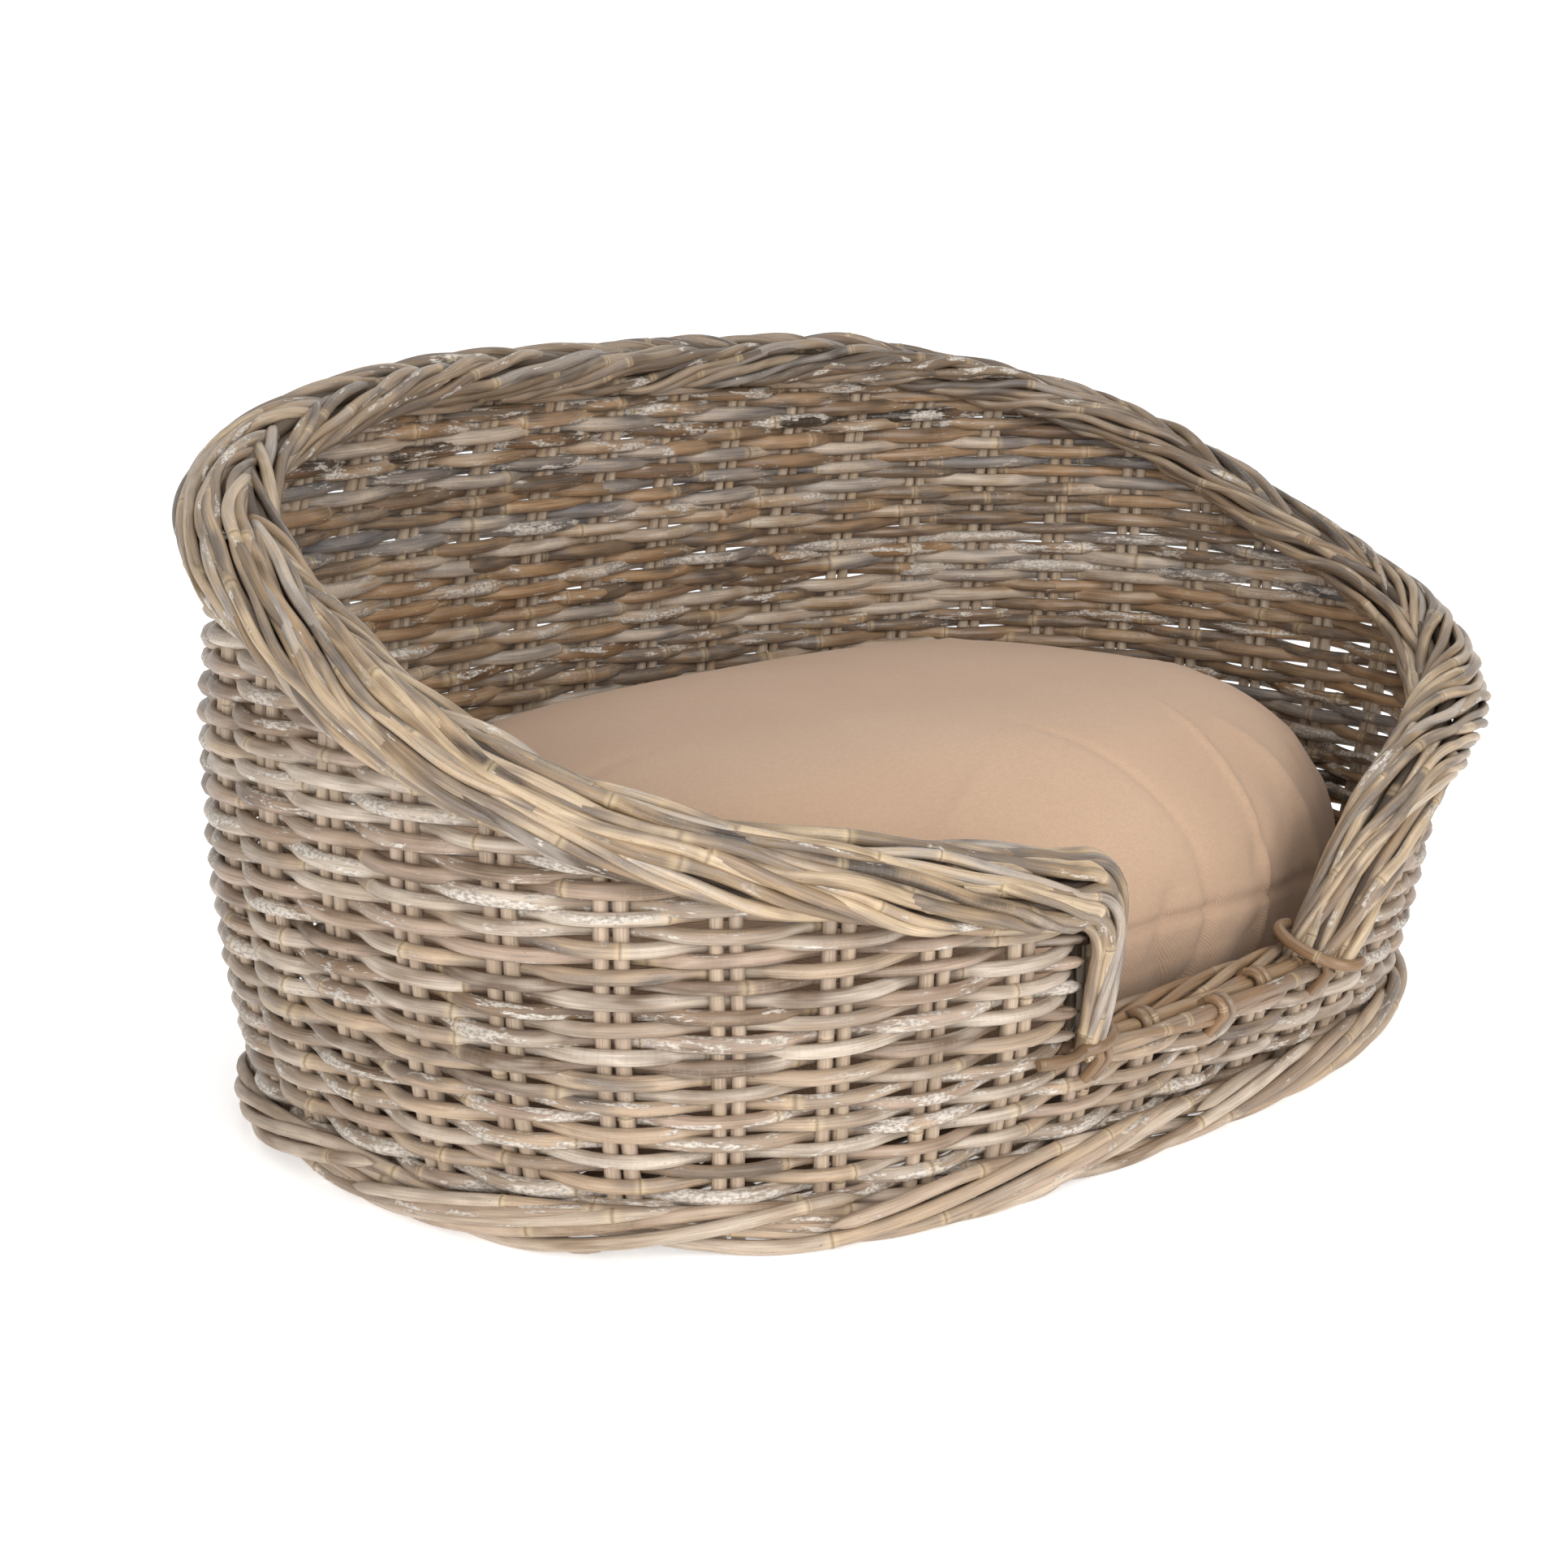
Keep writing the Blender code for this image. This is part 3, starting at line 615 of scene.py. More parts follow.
def build_base():
    """The woven floor, the twisted hoop that edges it and the sticks that carry it."""
    low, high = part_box("base_panel")
    canes = Canes(500)
    z_mid = (low[2] + high[2]) / 2
    count = int((high[1] - low[1] - 0.008) / BASE_ROW_PITCH)
    for n in range(count):
        y = low[1] + 0.006 + n * BASE_ROW_PITCH
        span = base_span(y)
        if span < 0.05:
            continue
        x = np.linspace(-span, span, max(8, int(2 * span / 0.008)))
        wave = np.cos(math.pi * x / BASE_WARP_PITCH) * (1 if n % 2 else -1)
        line = np.full_like(x, y) + 0.0003 * np.sin(x * 30 + n)
        path = np.stack([x, line, z_mid - BASE_DROP + 0.0023 * wave], axis=1)
        canes.add(path, BASE_CANE_R * canes.rng.uniform(0.93, 1.08), (0, 0, 1), sides=7, tone=1.0)
    spans, depths = zip(*sorted((base_span(y), abs(y)) for y in np.linspace(0.0, high[1] - 0.004, 60)))
    for x in np.arange(-5, 6) * BASE_WARP_PITCH:
        half = np.interp(abs(x), spans, depths)
        y = np.linspace(max(low[1] + 0.002, -half + 0.01), min(high[1] - 0.002, half + 0.006), 40)
        for shift in (-0.003, 0.003):
            path = np.stack([np.full_like(y, x + shift), y, np.full_like(y, z_mid - BASE_DROP)], axis=1)
            canes.add(path, BASE_WARP_R, (0, 0, 1), sides=7, tone=1.0)
    canes.build("base_weave", BASE_MATERIAL, "basket", "base_cane", ("base_panel",))
    hoop = Canes(501)
    lo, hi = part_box("base_hoop")
    arc = np.linspace(-HALF_GIRTH, HALF_GIRTH, 320)
    for k in range(2):
        turn = 2 * math.pi * (arc / HOOP_TWIST) + math.pi * k
        z = (lo[2] + hi[2]) / 2 + HOOP_SWING * np.cos(turn)
        out = HOOP_OUT + HOOP_SWING * np.sin(turn)
        hoop.add_on_wall(arc, z, out, HOOP_R, tone=1.0)
    hoop.build("base_hoop_canes", BASE_MATERIAL, "basket", "base_cane", ("base_hoop",))
    for k in range(3):
        lo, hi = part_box(f"base_stick_{k + 1}")
        stick = Canes(510 + k)
        x = np.linspace(lo[0], hi[0], 80)
        y = np.full_like(x, (lo[1] + hi[1]) / 2) + 0.0008 * np.sin(x * 12 + k)
        z = np.full_like(x, (lo[2] + hi[2]) / 2)
        path = np.stack([x, y, z], axis=1)
        stick.add(path, BASE_STICK_R, (0, 0, 1), sides=10, tone=1.0, knuckle=0.06)
        node = f"base_stick_{k + 1}"
        stick.build(f"base_stick_cane_{k + 1}", BASE_MATERIAL, "basket", "base_cane", (node,))


# ---------------------------------------------------------------- rim

# The rim's section as distances out and up from its middle line, from the outer lower edge over the
# top to the inner lower edge. The plaited canes lie on it.
RIM_SECTION = np.array([(0.0085, -0.0150), (0.0135, -0.0185), (0.0200, -0.0185), (0.0248, -0.0125),
                        (0.0257, -0.0045), (0.0227, 0.0040), (0.0150, 0.0120), (0.0050, 0.0168),
                        (-0.0050, 0.0166), (-0.0125, 0.0122), (-0.0172, 0.0045), (-0.0178, -0.0055),
                        (-0.0150, -0.0115), (-0.0100, -0.0125)])
SECTION_LOW, SECTION_HIGH = float(RIM_SECTION[:, 1].min()), float(RIM_SECTION[:, 1].max())
_section = smooth_path(RIM_SECTION, 0.001)
_section_length = np.concatenate([[0], np.cumsum(np.linalg.norm(np.diff(_section, axis=0), axis=1))])
RIM_GIRTH = float(_section_length[-1])
_section_slope = np.gradient(_section, axis=0)
_section_slope /= np.linalg.norm(_section_slope, axis=1, keepdims=True)
_section_out = np.stack([-_section_slope[:, 1], _section_slope[:, 0]], axis=1)
if _section_out[len(_section_out) // 2, 1] < 0:
    _section_out = -_section_out
TURN_START = 0.016  # how far before its end each arm's canes begin to turn down
LEFT_BEND_R = 0.0240
LEFT_LEVEL = (0.0010, 0.0195)  # level run before the bend: for the lowest cane, and more for the highest
LEFT_FOOT = (0.0205, 0.0120)  # the tail's lower end past the arm's end, and its width there
FOOT_Z = 0.0765
RIGHT_FOOT, RIGHT_FOOT_Z = 0.0225, 0.0800


def left_turn(past, rise, jig):
    """Arc and height along the left tail, past metres beyond where its canes begin to turn: level, then
    round the bend, then down to its foot. Also the share of the tail run and the angle turned."""
    order = (rise - SECTION_LOW) / (SECTION_HIGH - SECTION_LOW)
    start = ARM_ARC - TURN_START
    z0 = rim_height(-start) + rise
    level = LEFT_LEVEL[0] + LEFT_LEVEL[1] * order
    foot_at = ARM_ARC + LEFT_FOOT[0] + (order - 0.5) * LEFT_FOOT[1] + jig
    length = np.hypot(start + level + LEFT_BEND_R - foot_at, z0 - LEFT_BEND_R - FOOT_Z)
    angle = np.clip((past - level) / LEFT_BEND_R, 0, math.pi / 2)
    t = np.clip((past - level - LEFT_BEND_R * math.pi / 2) / length, 0, 1)
    at = start + np.minimum(past, level) + LEFT_BEND_R * np.sin(angle)
    z = z0 - LEFT_BEND_R * (1 - np.cos(angle))
    ease = t * t * (3 - 2 * t) * 0.5 + t * 0.5
    at = at + (foot_at - start - level - LEFT_BEND_R) * ease
    z = z + (FOOT_Z - z0 + LEFT_BEND_R) * t
    return at, z, np.clip(past / (level + LEFT_BEND_R * math.pi / 2 + length), 0, 1), angle


def right_turn(past, rise, jig):
    """The same along the right tail, whose canes slope down to the sill in one easy curve."""
    start = ARM_ARC - TURN_START
    z0 = rim_height(start) + rise
    foot_at = ARM_ARC + RIGHT_FOOT + 0.32 * rise + jig
    foot_z = RIGHT_FOOT_Z + 0.10 * rise
    length = np.hypot(foot_at - start, foot_z - z0)
    t = np.clip(past / length, 0, 1)
    at = start + (foot_at - start) * (1.30 * t - 0.30 * t * t)
    z = z0 + (foot_z - z0) * (0.72 * t + 0.28 * t * t)
    return at, z, t, 0.8 * t


def rim_place(arc, around, lift=0.0, jig=0.0):
    """Points and outward directions along the border: over the rim, and past its ends down the tails.
    around is metres round the rim's section from the outer lower edge, and lift is off its surface."""
    arc, around, lift = np.broadcast_arrays(*[np.asarray(value, float) for value in (arc, around, lift)])
    around = np.clip(around, 0, RIM_GIRTH)
    out = np.interp(around, _section_length, _section[:, 0])
    rise = np.interp(around, _section_length, _section[:, 1])
    d_out = np.interp(around, _section_length, _section_out[:, 0])
    d_rise = np.interp(around, _section_length, _section_out[:, 1])
    out, rise = out + lift * d_out, rise + lift * d_rise
    start = ARM_ARC - TURN_START
    past = np.maximum(np.abs(arc) - start, 0.0)
    at_left, z_left, run_left, tilt_left = left_turn(past, rise, jig)
    at_right, z_right, run_right, tilt_right = right_turn(past, rise, jig)
    on_rim, left = past <= 0, arc < 0
    at = np.where(on_rim, arc, np.where(left, -at_left, at_right))
    z = np.where(on_rim, rim_height(arc) + rise, np.where(left, z_left, z_right))
    tilt = np.where(on_rim, 0.0, np.where(left, tilt_left, tilt_right))
    out = out * np.where(on_rim, 1.0, np.where(left, 1 - 0.56 * run_left, 1 - 0.14 * run_right))
    points = wall(at, z, out)
    level = out_direction(at)
    forward = np.stack([level[..., 1], -level[..., 0], np.zeros_like(at)], axis=-1) * np.sign(arc)[..., None]
    up = forward * np.sin(tilt)[..., None] + np.array([0.0, 0.0, 1.0]) * np.cos(tilt)[..., None]
    return points, level * d_out[..., None] + up * d_rise[..., None]


OUTER_BAND = 0.66  # share of the section that the outer canes cover
BAND_START, BAND_END = 0.30, 0.06  # distances from an arm's end between which that share grows
OUTER_LENGTH, OUTER_STEP = 0.255, 0.0190
INNER_LENGTH, INNER_STEP = 0.190, 0.0250
RUN_IN = 0.40  # length at each end over which the outer canes get longer towards the end
LEFT_TAIL, LEFT_SHORT, RIGHT_TAIL = 0.105, 0.026, 0.078  # how far the canes run past the arms' ends
STRAND_WAVE, STRAND_DIP = 0.0017, 0.0085  # how far a strand rides up and down, and sinks at its ends
SHORT_DIP, SHORT_RUN = 0.0090, 0.030  # the same where a short cane ends under the left tail
SHADE_SPAN, SHADE_RIGHT = 0.50, 0.35  # how the rim's painted shade (its tone) changes with the distance from the back


def parting(arc):
    """Share of the section where the two sides of the plait meet; it moves to the inner edge on the arms."""
    t = np.clip((BAND_START - (ARM_ARC - np.abs(np.asarray(arc, float)))) / (BAND_START - BAND_END), 0, 1)
    return OUTER_BAND + (0.99 - OUTER_BAND) * t * t * (3 - 2 * t)


def add_rim_strand(canes, number, start, length, low, high, radius, bulge):
    """One plaited cane: it runs length along the rim while it crosses the section from low to high."""
    rng = canes.rng
    u = np.linspace(0, 1, max(12, int(length / 0.0040)))
    arc = start + length * u
    phase = rng.uniform(0, 2 * math.pi, 4)
    jig = rng.uniform(-0.0022, 0.0022)
    last = -ARM_ARC - (LEFT_TAIL if number % 2 else LEFT_SHORT)
    keep = (arc > last) & (arc < ARM_ARC + RIGHT_TAIL)
    if keep.sum() < 10:
        return
    u, arc = u[keep], arc[keep]
    ease = u + 0.045 * np.sin(2 * math.pi * u)
    if low < high:
        a, b = low, high * parting(arc) / OUTER_BAND
    else:
        a, b = low, high + (parting(arc) - OUTER_BAND)
    around = (a + (b - a) * ease) * RIM_GIRTH
    around = around + 0.0017 * np.sin(2 * math.pi * arc / 0.150 + phase[0])
    around = around + 0.0009 * np.sin(2 * math.pi * arc / 0.063 + phase[1])
    lift = bulge + STRAND_WAVE * np.sin(2 * math.pi * arc / 0.135 + math.pi * number + 0.7 * phase[2])
    lift = lift - STRAND_DIP * (u**8) - STRAND_DIP * (1 - u) ** 8
    if number % 2 == 0:
        lift = lift - SHORT_DIP * np.clip((last + SHORT_RUN - arc) / SHORT_RUN, 0, 1)
    points, direction = rim_place(arc, around, lift, jig)
    middle = start + length / 2
    # Tone 1 is the darker palette, painted shade: full over the back, fading towards the arms, further on the
    # right.
    tone = float(np.clip(1.30 - abs(middle) / SHADE_SPAN + (SHADE_RIGHT if middle > 0 else 0.0), 0, 1))
    canes.add(points, radius, direction, sides=10, tone=tone)


TAIL_CANES = 7
TAIL_RUN_IN = 0.085  # how far back under the rim they start


def add_tail_canes(canes, side, start, end):
    """Canes that run straight down a tail, under the plaited ones."""
    for k in range(TAIL_CANES):
        canes.rng = np.random.default_rng(6800 + 10 * side + k)
        arc = np.linspace(start, end, 60)
        phase = canes.rng.uniform(0, 2 * math.pi)
        around = (0.08 + 0.135 * k + 0.020 * np.sin(arc * 30 + phase)) * RIM_GIRTH
        lift = -0.0026 + 0.0012 * np.sin(arc * 47 + phase)
        points, direction = rim_place(arc, around, lift)
        canes.add(points, RIM_R * canes.rng.uniform(0.95, 1.15), direction, sides=10)


def build_rim():
    """The outer canes from one arm to the other, those that run on down the tails, then the inner ones."""
    total = 2 * ARM_ARC
    groups = [Canes(600 + k) for k in range(4)]
    left_tail, right_tail = Canes(699), Canes(701)
    rng = np.random.default_rng(77)
    number = 0
    at = -ARM_ARC - OUTER_LENGTH * 1.55
    while at < ARM_ARC:
        from_left, from_right = max(at + ARM_ARC, 0.0), max(ARM_ARC - at, 0.0)
        length = OUTER_LENGTH * rng.uniform(0.85, 1.18)
        length *= 1.0 + 0.50 * max(1 - from_left / RUN_IN, 0.0) + 0.45 * max(1 - from_right / RUN_IN, 0.0)
        start = at + rng.uniform(-0.005, 0.005)
        low, high = rng.uniform(-0.01, 0.02), OUTER_BAND + rng.uniform(-0.035, 0.035)
        radius, bulge = RIM_R * rng.uniform(0.82, 1.16), rng.uniform(-0.0006, 0.0012)
        if start < -ARM_ARC + TURN_START:
            group = left_tail
        elif start + length > ARM_ARC - TURN_START:
            group = right_tail
        else:
            group = groups[int(np.clip(from_left / total * 4, 0, 3))]
        group.rng = np.random.default_rng(6000 + number)
        add_rim_strand(group, number, start, length, low, high, radius, bulge)
        number += 1
        at += OUTER_STEP
    for k, group in enumerate(groups):
        group.build(f"rim_outer_canes_{k + 1}", RIM_MATERIAL, "basket", "rim_cane", ("rim_outer_plait",))
    add_tail_canes(left_tail, -1, -ARM_ARC + TAIL_RUN_IN, -ARM_ARC - LEFT_TAIL)
    add_tail_canes(right_tail, 1, ARM_ARC - TAIL_RUN_IN, ARM_ARC + RIGHT_TAIL)
    left_tail.build("rim_tail_canes_left", RIM_MATERIAL, "basket", "rim_cane", ("rim_tail_left",))
    right_tail.build("rim_tail_canes_right", RIM_MATERIAL, "basket", "rim_cane", ("rim_tail_right",))
    groups = [Canes(650 + k) for k in range(2)]
    for n in range(int((total + INNER_LENGTH) / INNER_STEP)):
        base = -ARM_ARC - INNER_LENGTH + n * INNER_STEP
        length = INNER_LENGTH * rng.uniform(0.85, 1.2)
        low, high = 1.0 + rng.uniform(-0.02, 0.01), OUTER_BAND - 0.02 + rng.uniform(-0.03, 0.03)
        radius, bulge = RIM_R * rng.uniform(0.82, 1.12), rng.uniform(-0.0004, 0.0012)
        start = base + rng.uniform(-0.006, 0.006)
        if start < -ARM_ARC + 0.10 or start + length > ARM_ARC - 0.06:
            continue
        group = groups[int(np.clip((base + ARM_ARC) / total * 2, 0, 1))]
        group.rng = np.random.default_rng(6500 + n)
        add_rim_strand(group, n, start, length, low, high, radius, bulge)
    for k, group in enumerate(groups):
        group.build(f"rim_inner_canes_{k + 1}", RIM_MATERIAL, "basket", "rim_inner_cane", ("rim_inner_plait",))
    build_rim_core()


# Places of the core canes: share of the way round the rim's section, and depth under its surface.
CORE_CANES = ((0.12, 0.0070), (0.26, 0.0072), (0.38, 0.0075), (0.52, 0.0075), (0.66, 0.0075), (0.80, 0.0070),
              (0.90, 0.0060))
CORE_R = 0.0042


def build_rim_core():
    """Cane ends packed inside the rim, under the plaited canes; their dark colour is painted shade in the gaps."""
    core = Canes(690)
    arc = np.linspace(-ARM_ARC - 0.050, ARM_ARC + 0.068, 400)
    for around, depth in CORE_CANES:
        points, direction = rim_place(arc, around * RIM_GIRTH + 0.001 * np.sin(arc * 20), -depth)
        core.add(points, CORE_R, direction, sides=8, knuckle=0.02)
    core.build("rim_core_canes", CORE_SHADE_MATERIAL, "basket", "rim_cane", ("rim_outer_plait",))


# ---------------------------------------------------------------- arm ends, ties and sill

TIE_R = 0.0033
TIE_Z = 0.0800  # height at which the left tie comes out of the wall
# The outer and the inner sill cane: distance out of the wall's middle, and height off the CAD's cane.
SILL_OUTER, SILL_INNER = (0.0072, -0.0005), (-0.0042, 0.0010)
SILL_CANE_R, SILL_TWIN_R, SILL_PLAIT_R = 0.0043, 0.0034, 0.0031
SILL_TWIN_TURN = 0.21  # length over which the thinner cane winds once round its neighbour
SILL_PLAIT_TURN, SILL_PLAIT_STRANDS = 0.170, 4
SILL_PLAIT_OUT, SILL_PLAIT_SWING, SILL_PLAIT_RISE = -0.0165, 0.0058, 0.0040
WRAP_R, WRAP_SHIFT = 0.0027, 0.0034
WRAP_GAP = 0.0026  # from the sill cane's surface to the middle of the stake's end bent over it
WRAP_HALF_REACH = 0.112


def build_ties():
    """The cane that binds each tail's foot: a loop round it on the left, a turn over it on the right."""
    left = Canes(719)
    turn = np.linspace(-0.45 * math.pi, 1.10 * math.pi, 34)
    at = ARM_ARC + 0.0215 + 0.0170 * np.cos(turn)
    out = 0.0150 * np.sin(turn)
    z = 0.0830 + 0.0035 * np.cos(turn)
    run = [wall(-(ARM_ARC - back), TIE_Z, off) for back, off in ((0.022, 0.0120), (0.012, 0.0145), (0.001, 0.0156))]
    loop = list(wall(-at, z, out)[::-1])
    path = smooth_path(run + loop[8:], 0.003)
    left.add(path, TIE_R, np.array([-0.4, -0.8, 0.5]), sides=12, knuckle=0.05)
    left.build("tie_cane_left", TIE_MATERIAL, "basket", "sill_cane", ("tie_loop_left",))
    right = Canes(721)
    turn = np.linspace(-0.12 * math.pi, 1.12 * math.pi, 40)
    at = ARM_ARC + 0.0200 + 0.0175 * np.sin(turn)
    out = 0.0030 - 0.0255 * np.cos(turn)
    z = 0.0950 - 0.0120 * (out + 0.020) / 0.044
    right.add(wall(at, z, out), TIE_R, np.array([-0.5, -0.5, 0.6]), sides=12, knuckle=0.05)
    right.build("tie_cane_right", TIE_MATERIAL, "basket", "sill_cane", ("tie_loop_right",))


def build_sill():
    """The sill's two canes, each with a thinner one wound round it, and the plait on the inner side."""
    reach = ARM_END_FROM_FRONT - 0.012
    arc = HALF_GIRTH + np.linspace(-reach, reach, 80)
    for name, node, seed, (out, rise) in (("sill_outer", "sill_cane_outer", 801, SILL_OUTER),
                                          ("sill_inner", "sill_cane_inner", 805, SILL_INNER)):
        canes = Canes(seed)
        wave = 0.0007 * np.sin(arc * 40 + seed)
        path = wall(arc, SILL_CANE_Z + rise + wave, out + wave)
        canes.add(path, SILL_CANE_R, out_direction(arc), sides=12, tips=CUT)
        twin = SILL_CANE_Z + rise + 0.0035 * np.cos(arc * 2 * math.pi / SILL_TWIN_TURN + seed)
        twin_out = out - 0.0015 + 0.003 * np.sin(arc * 2 * math.pi / SILL_TWIN_TURN)
        canes.add(wall(arc, twin - 0.002, twin_out), SILL_TWIN_R, out_direction(arc), sides=10)
        canes.build(name + "_cane", SILL_MATERIAL, "basket", "sill_cane", (node,))
    plait = Canes(803)
    braid = 2 * math.pi / SILL_PLAIT_TURN
    for k in range(SILL_PLAIT_STRANDS):
        t = braid * arc + 2 * math.pi * k / SILL_PLAIT_STRANDS
        out = SILL_PLAIT_OUT + SILL_PLAIT_SWING * np.sin(t)
        z = SILL_CANE_Z + 0.0035 + SILL_PLAIT_RISE * np.cos(t + 0.5) + 0.0012 * np.sin(2 * t)
        plait.add_on_wall(arc, z, out, SILL_PLAIT_R, sides=10, tips=LONG_CUT)
    plait.build("sill_plait_canes", SILL_MATERIAL, "basket", "sill_cane", ("sill_plait",))


def build_sill_wraps():
    """The short stakes' ends: each pair bends over a sill cane and back down behind it."""
    canes = Canes(804)
    for index in range(STAKE_PAIRS):
        arc = stake_arc(index)
        if abs(arc) < HALF_GIRTH - WRAP_HALF_REACH:
            continue
        middle, rise = SILL_OUTER if index % 2 == 0 else SILL_INNER
        for side in (-1, 1):
            at = arc + side * WRAP_SHIFT
            swing = SILL_CANE_R + WRAP_GAP
            turn = np.linspace(-0.25, math.pi + 0.3, 11)
            out = [middle * 0.3] + list(middle + swing * np.cos(turn))
            z = [SILL_Z - 0.016] + list(SILL_CANE_Z + rise + swing * np.sin(turn))
            points = [wall(at - 0.0012 + 0.0030 * k / 11, zz, oo) for k, (zz, oo) in enumerate(zip(z, out))]
            path = smooth_path(points, 0.0018)
            up = out_direction(np.full(len(path), at)) + np.array([0, 0, 0.6])
            canes.add(path, WRAP_R, up, sides=10, knuckle=0.0)
    canes.build("sill_wraps", TIE_MATERIAL, "basket", "stake_cane")


# ---------------------------------------------------------------- cushion

CUSHION_SCALE = (0.995, 0.960, 0.95)  # of the CAD solid, before the pressure fills it out
CUSHION_VOXEL = 0.0060
PUFF = 0.030  # farthest that the pressure may move a point
SHOULDER = 0.010  # how far the top is raised between its middle and its edge
CROWN_EASE, CROWN_ROOM = 0.024, 0.036  # the height is eased from below the CAD's top to a limit above it
FLOOR_ROOM = 0.0008
SEAM_SHARE, SEAM_HALF, SEAM_DEPTH = 0.43, 0.0035, 0.0030  # the side seam: share of the height, width, depth
HEM_Z, HEM_HALF, HEM_DEPTH = 0.012, 0.0030, 0.0022  # the seam at the foot of the side
FOLDS, FOLD_RUN = 34, 0.20


def build_cushion():
    """The cushion's cover: the CAD solid drawn in, filled out as cloth, evened out on top, then folded
    and drawn in along its seams."""
    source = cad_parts["cushion"]
    mesh = source.data.copy()
    place = np.array(source.matrix_world)
    obj = bpy.data.objects.new("cushion_cover", mesh)
    bpy.context.scene.collection.objects.link(obj)
    low, high = (np.array(corner, float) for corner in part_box("cushion"))
    centre = np.array([(low[0] + high[0]) / 2, (low[1] + high[1]) / 2, low[2]])
    co = np.array([v.co for v in mesh.vertices]) @ place[:3, :3].T + place[:3, 3]
    co = centre + (co - centre) * np.array(CUSHION_SCALE)
    mesh.vertices.foreach_set("co", co.astype(np.float32).ravel())
    mesh.update()
    bpy.context.view_layer.objects.active = obj
    obj.select_set(True)
    remesh = obj.modifiers.new("remesh", "REMESH")
    remesh.mode = "VOXEL"
    remesh.voxel_size = CUSHION_VOXEL
    bpy.ops.object.modifier_apply(modifier="remesh")
    puff_cushion(obj, low)
    relax_crown(obj, centre, (high - low) / 2)
    subdivide = obj.modifiers.new("subdivide", "SUBSURF")
    subdivide.levels = subdivide.render_levels = 1
    bpy.ops.object.modifier_apply(modifier="subdivide")
    finish_cushion(obj, low, high, centre)


def puff_cushion(obj, low):
    """Fills the cover out by cloth pressure, most on top and not at all at its underside."""
    rest = np.array([v.co for v in obj.data.vertices])
    cloth = obj.modifiers.new("cloth", "CLOTH")
    cloth.settings.quality = 5
    cloth.settings.mass = 0.3
    cloth.settings.use_pressure = True
    cloth.settings.uniform_pressure_force = 4.0
    cloth.settings.tension_stiffness = 12
    cloth.settings.compression_stiffness = 12
    cloth.settings.shear_stiffness = 6
    cloth.settings.bending_stiffness = 0.4
    cloth.settings.effector_weights.gravity = 0.0
    cloth.collision_settings.use_self_collision = False
    for step in range(1, 21):
        bpy.context.scene.frame_set(step)
    depsgraph = bpy.context.evaluated_depsgraph_get()
    moved = np.array([v.co for v in obj.evaluated_get(depsgraph).data.vertices])
    obj.modifiers.remove(cloth)
    shift = moved - rest
    size = np.linalg.norm(shift, axis=1, keepdims=True)
    shift *= np.minimum(1.0, PUFF / np.maximum(size, 1e-9))
    shift[:, :2] *= 0.5
    shift[:, 2] *= np.clip((rest[:, 2] - low[2]) / 0.03, 0, 1)
    obj.data.vertices.foreach_set("co", (rest + shift).astype(np.float32).ravel())
    bpy.context.scene.frame_set(1)


def relax_crown(obj, centre, half):
    """Evens out the crown and leaves the sides as they are."""
    group = obj.vertex_groups.new(name="crown")
    for vertex in obj.data.vertices:
        edge = math.hypot((vertex.co.x - centre[0]) / half[0], (vertex.co.y - centre[1]) / half[1])
        if vertex.normal.z > 0.2:
            group.add([vertex.index], min(max((0.96 - edge) / 0.30, 0.0), 1.0), "REPLACE")
    relax = obj.modifiers.new("relax", "SMOOTH")
    relax.factor, relax.iterations, relax.vertex_group = 0.5, 400, "crown"
    bpy.ops.object.modifier_apply(modifier="relax")
    obj.vertex_groups.clear()


def cushion_folds(co, centre, half):
    """How far the cloth lifts at each point: drag lines that run in from the sides, and soft hollows."""
    rng = np.random.default_rng(41)
    across, deep = (co[:, 0] - centre[0]) / half[0], (co[:, 1] - centre[1]) / half[1]
    edge = (np.abs(across) ** 3 + np.abs(deep) ** 3) ** (1 / 3)
    lift = 0.0016 * np.sin(co[:, 0] * 17 + 2 * np.sin(co[:, 1] * 11)) * np.sin(co[:, 1] * 21 + 1.2)
    for k in range(FOLDS):
        middle = rng.uniform(-1.35, 0.75) if k % 2 else rng.uniform(-math.pi, math.pi)
        width, lean = rng.uniform(0.014, 0.036), rng.uniform(-0.50, 0.50)
        reach, height = rng.uniform(0.44, 0.90), rng.uniform(-0.0056, 0.0056)
        pivot = rng.uniform(-0.38, 0.38, 2)
        angle = np.arctan2(deep - pivot[1], across - pivot[0])
        off = (angle - middle - lean * (edge - reach) + math.pi) % (2 * math.pi) - math.pi
        rise = np.clip((edge - reach) / FOLD_RUN, 0, 1)
        lift += height * np.exp(-(np.abs(off / width) ** 1.3)) * rise * rise * (3 - 2 * rise)
    return lift


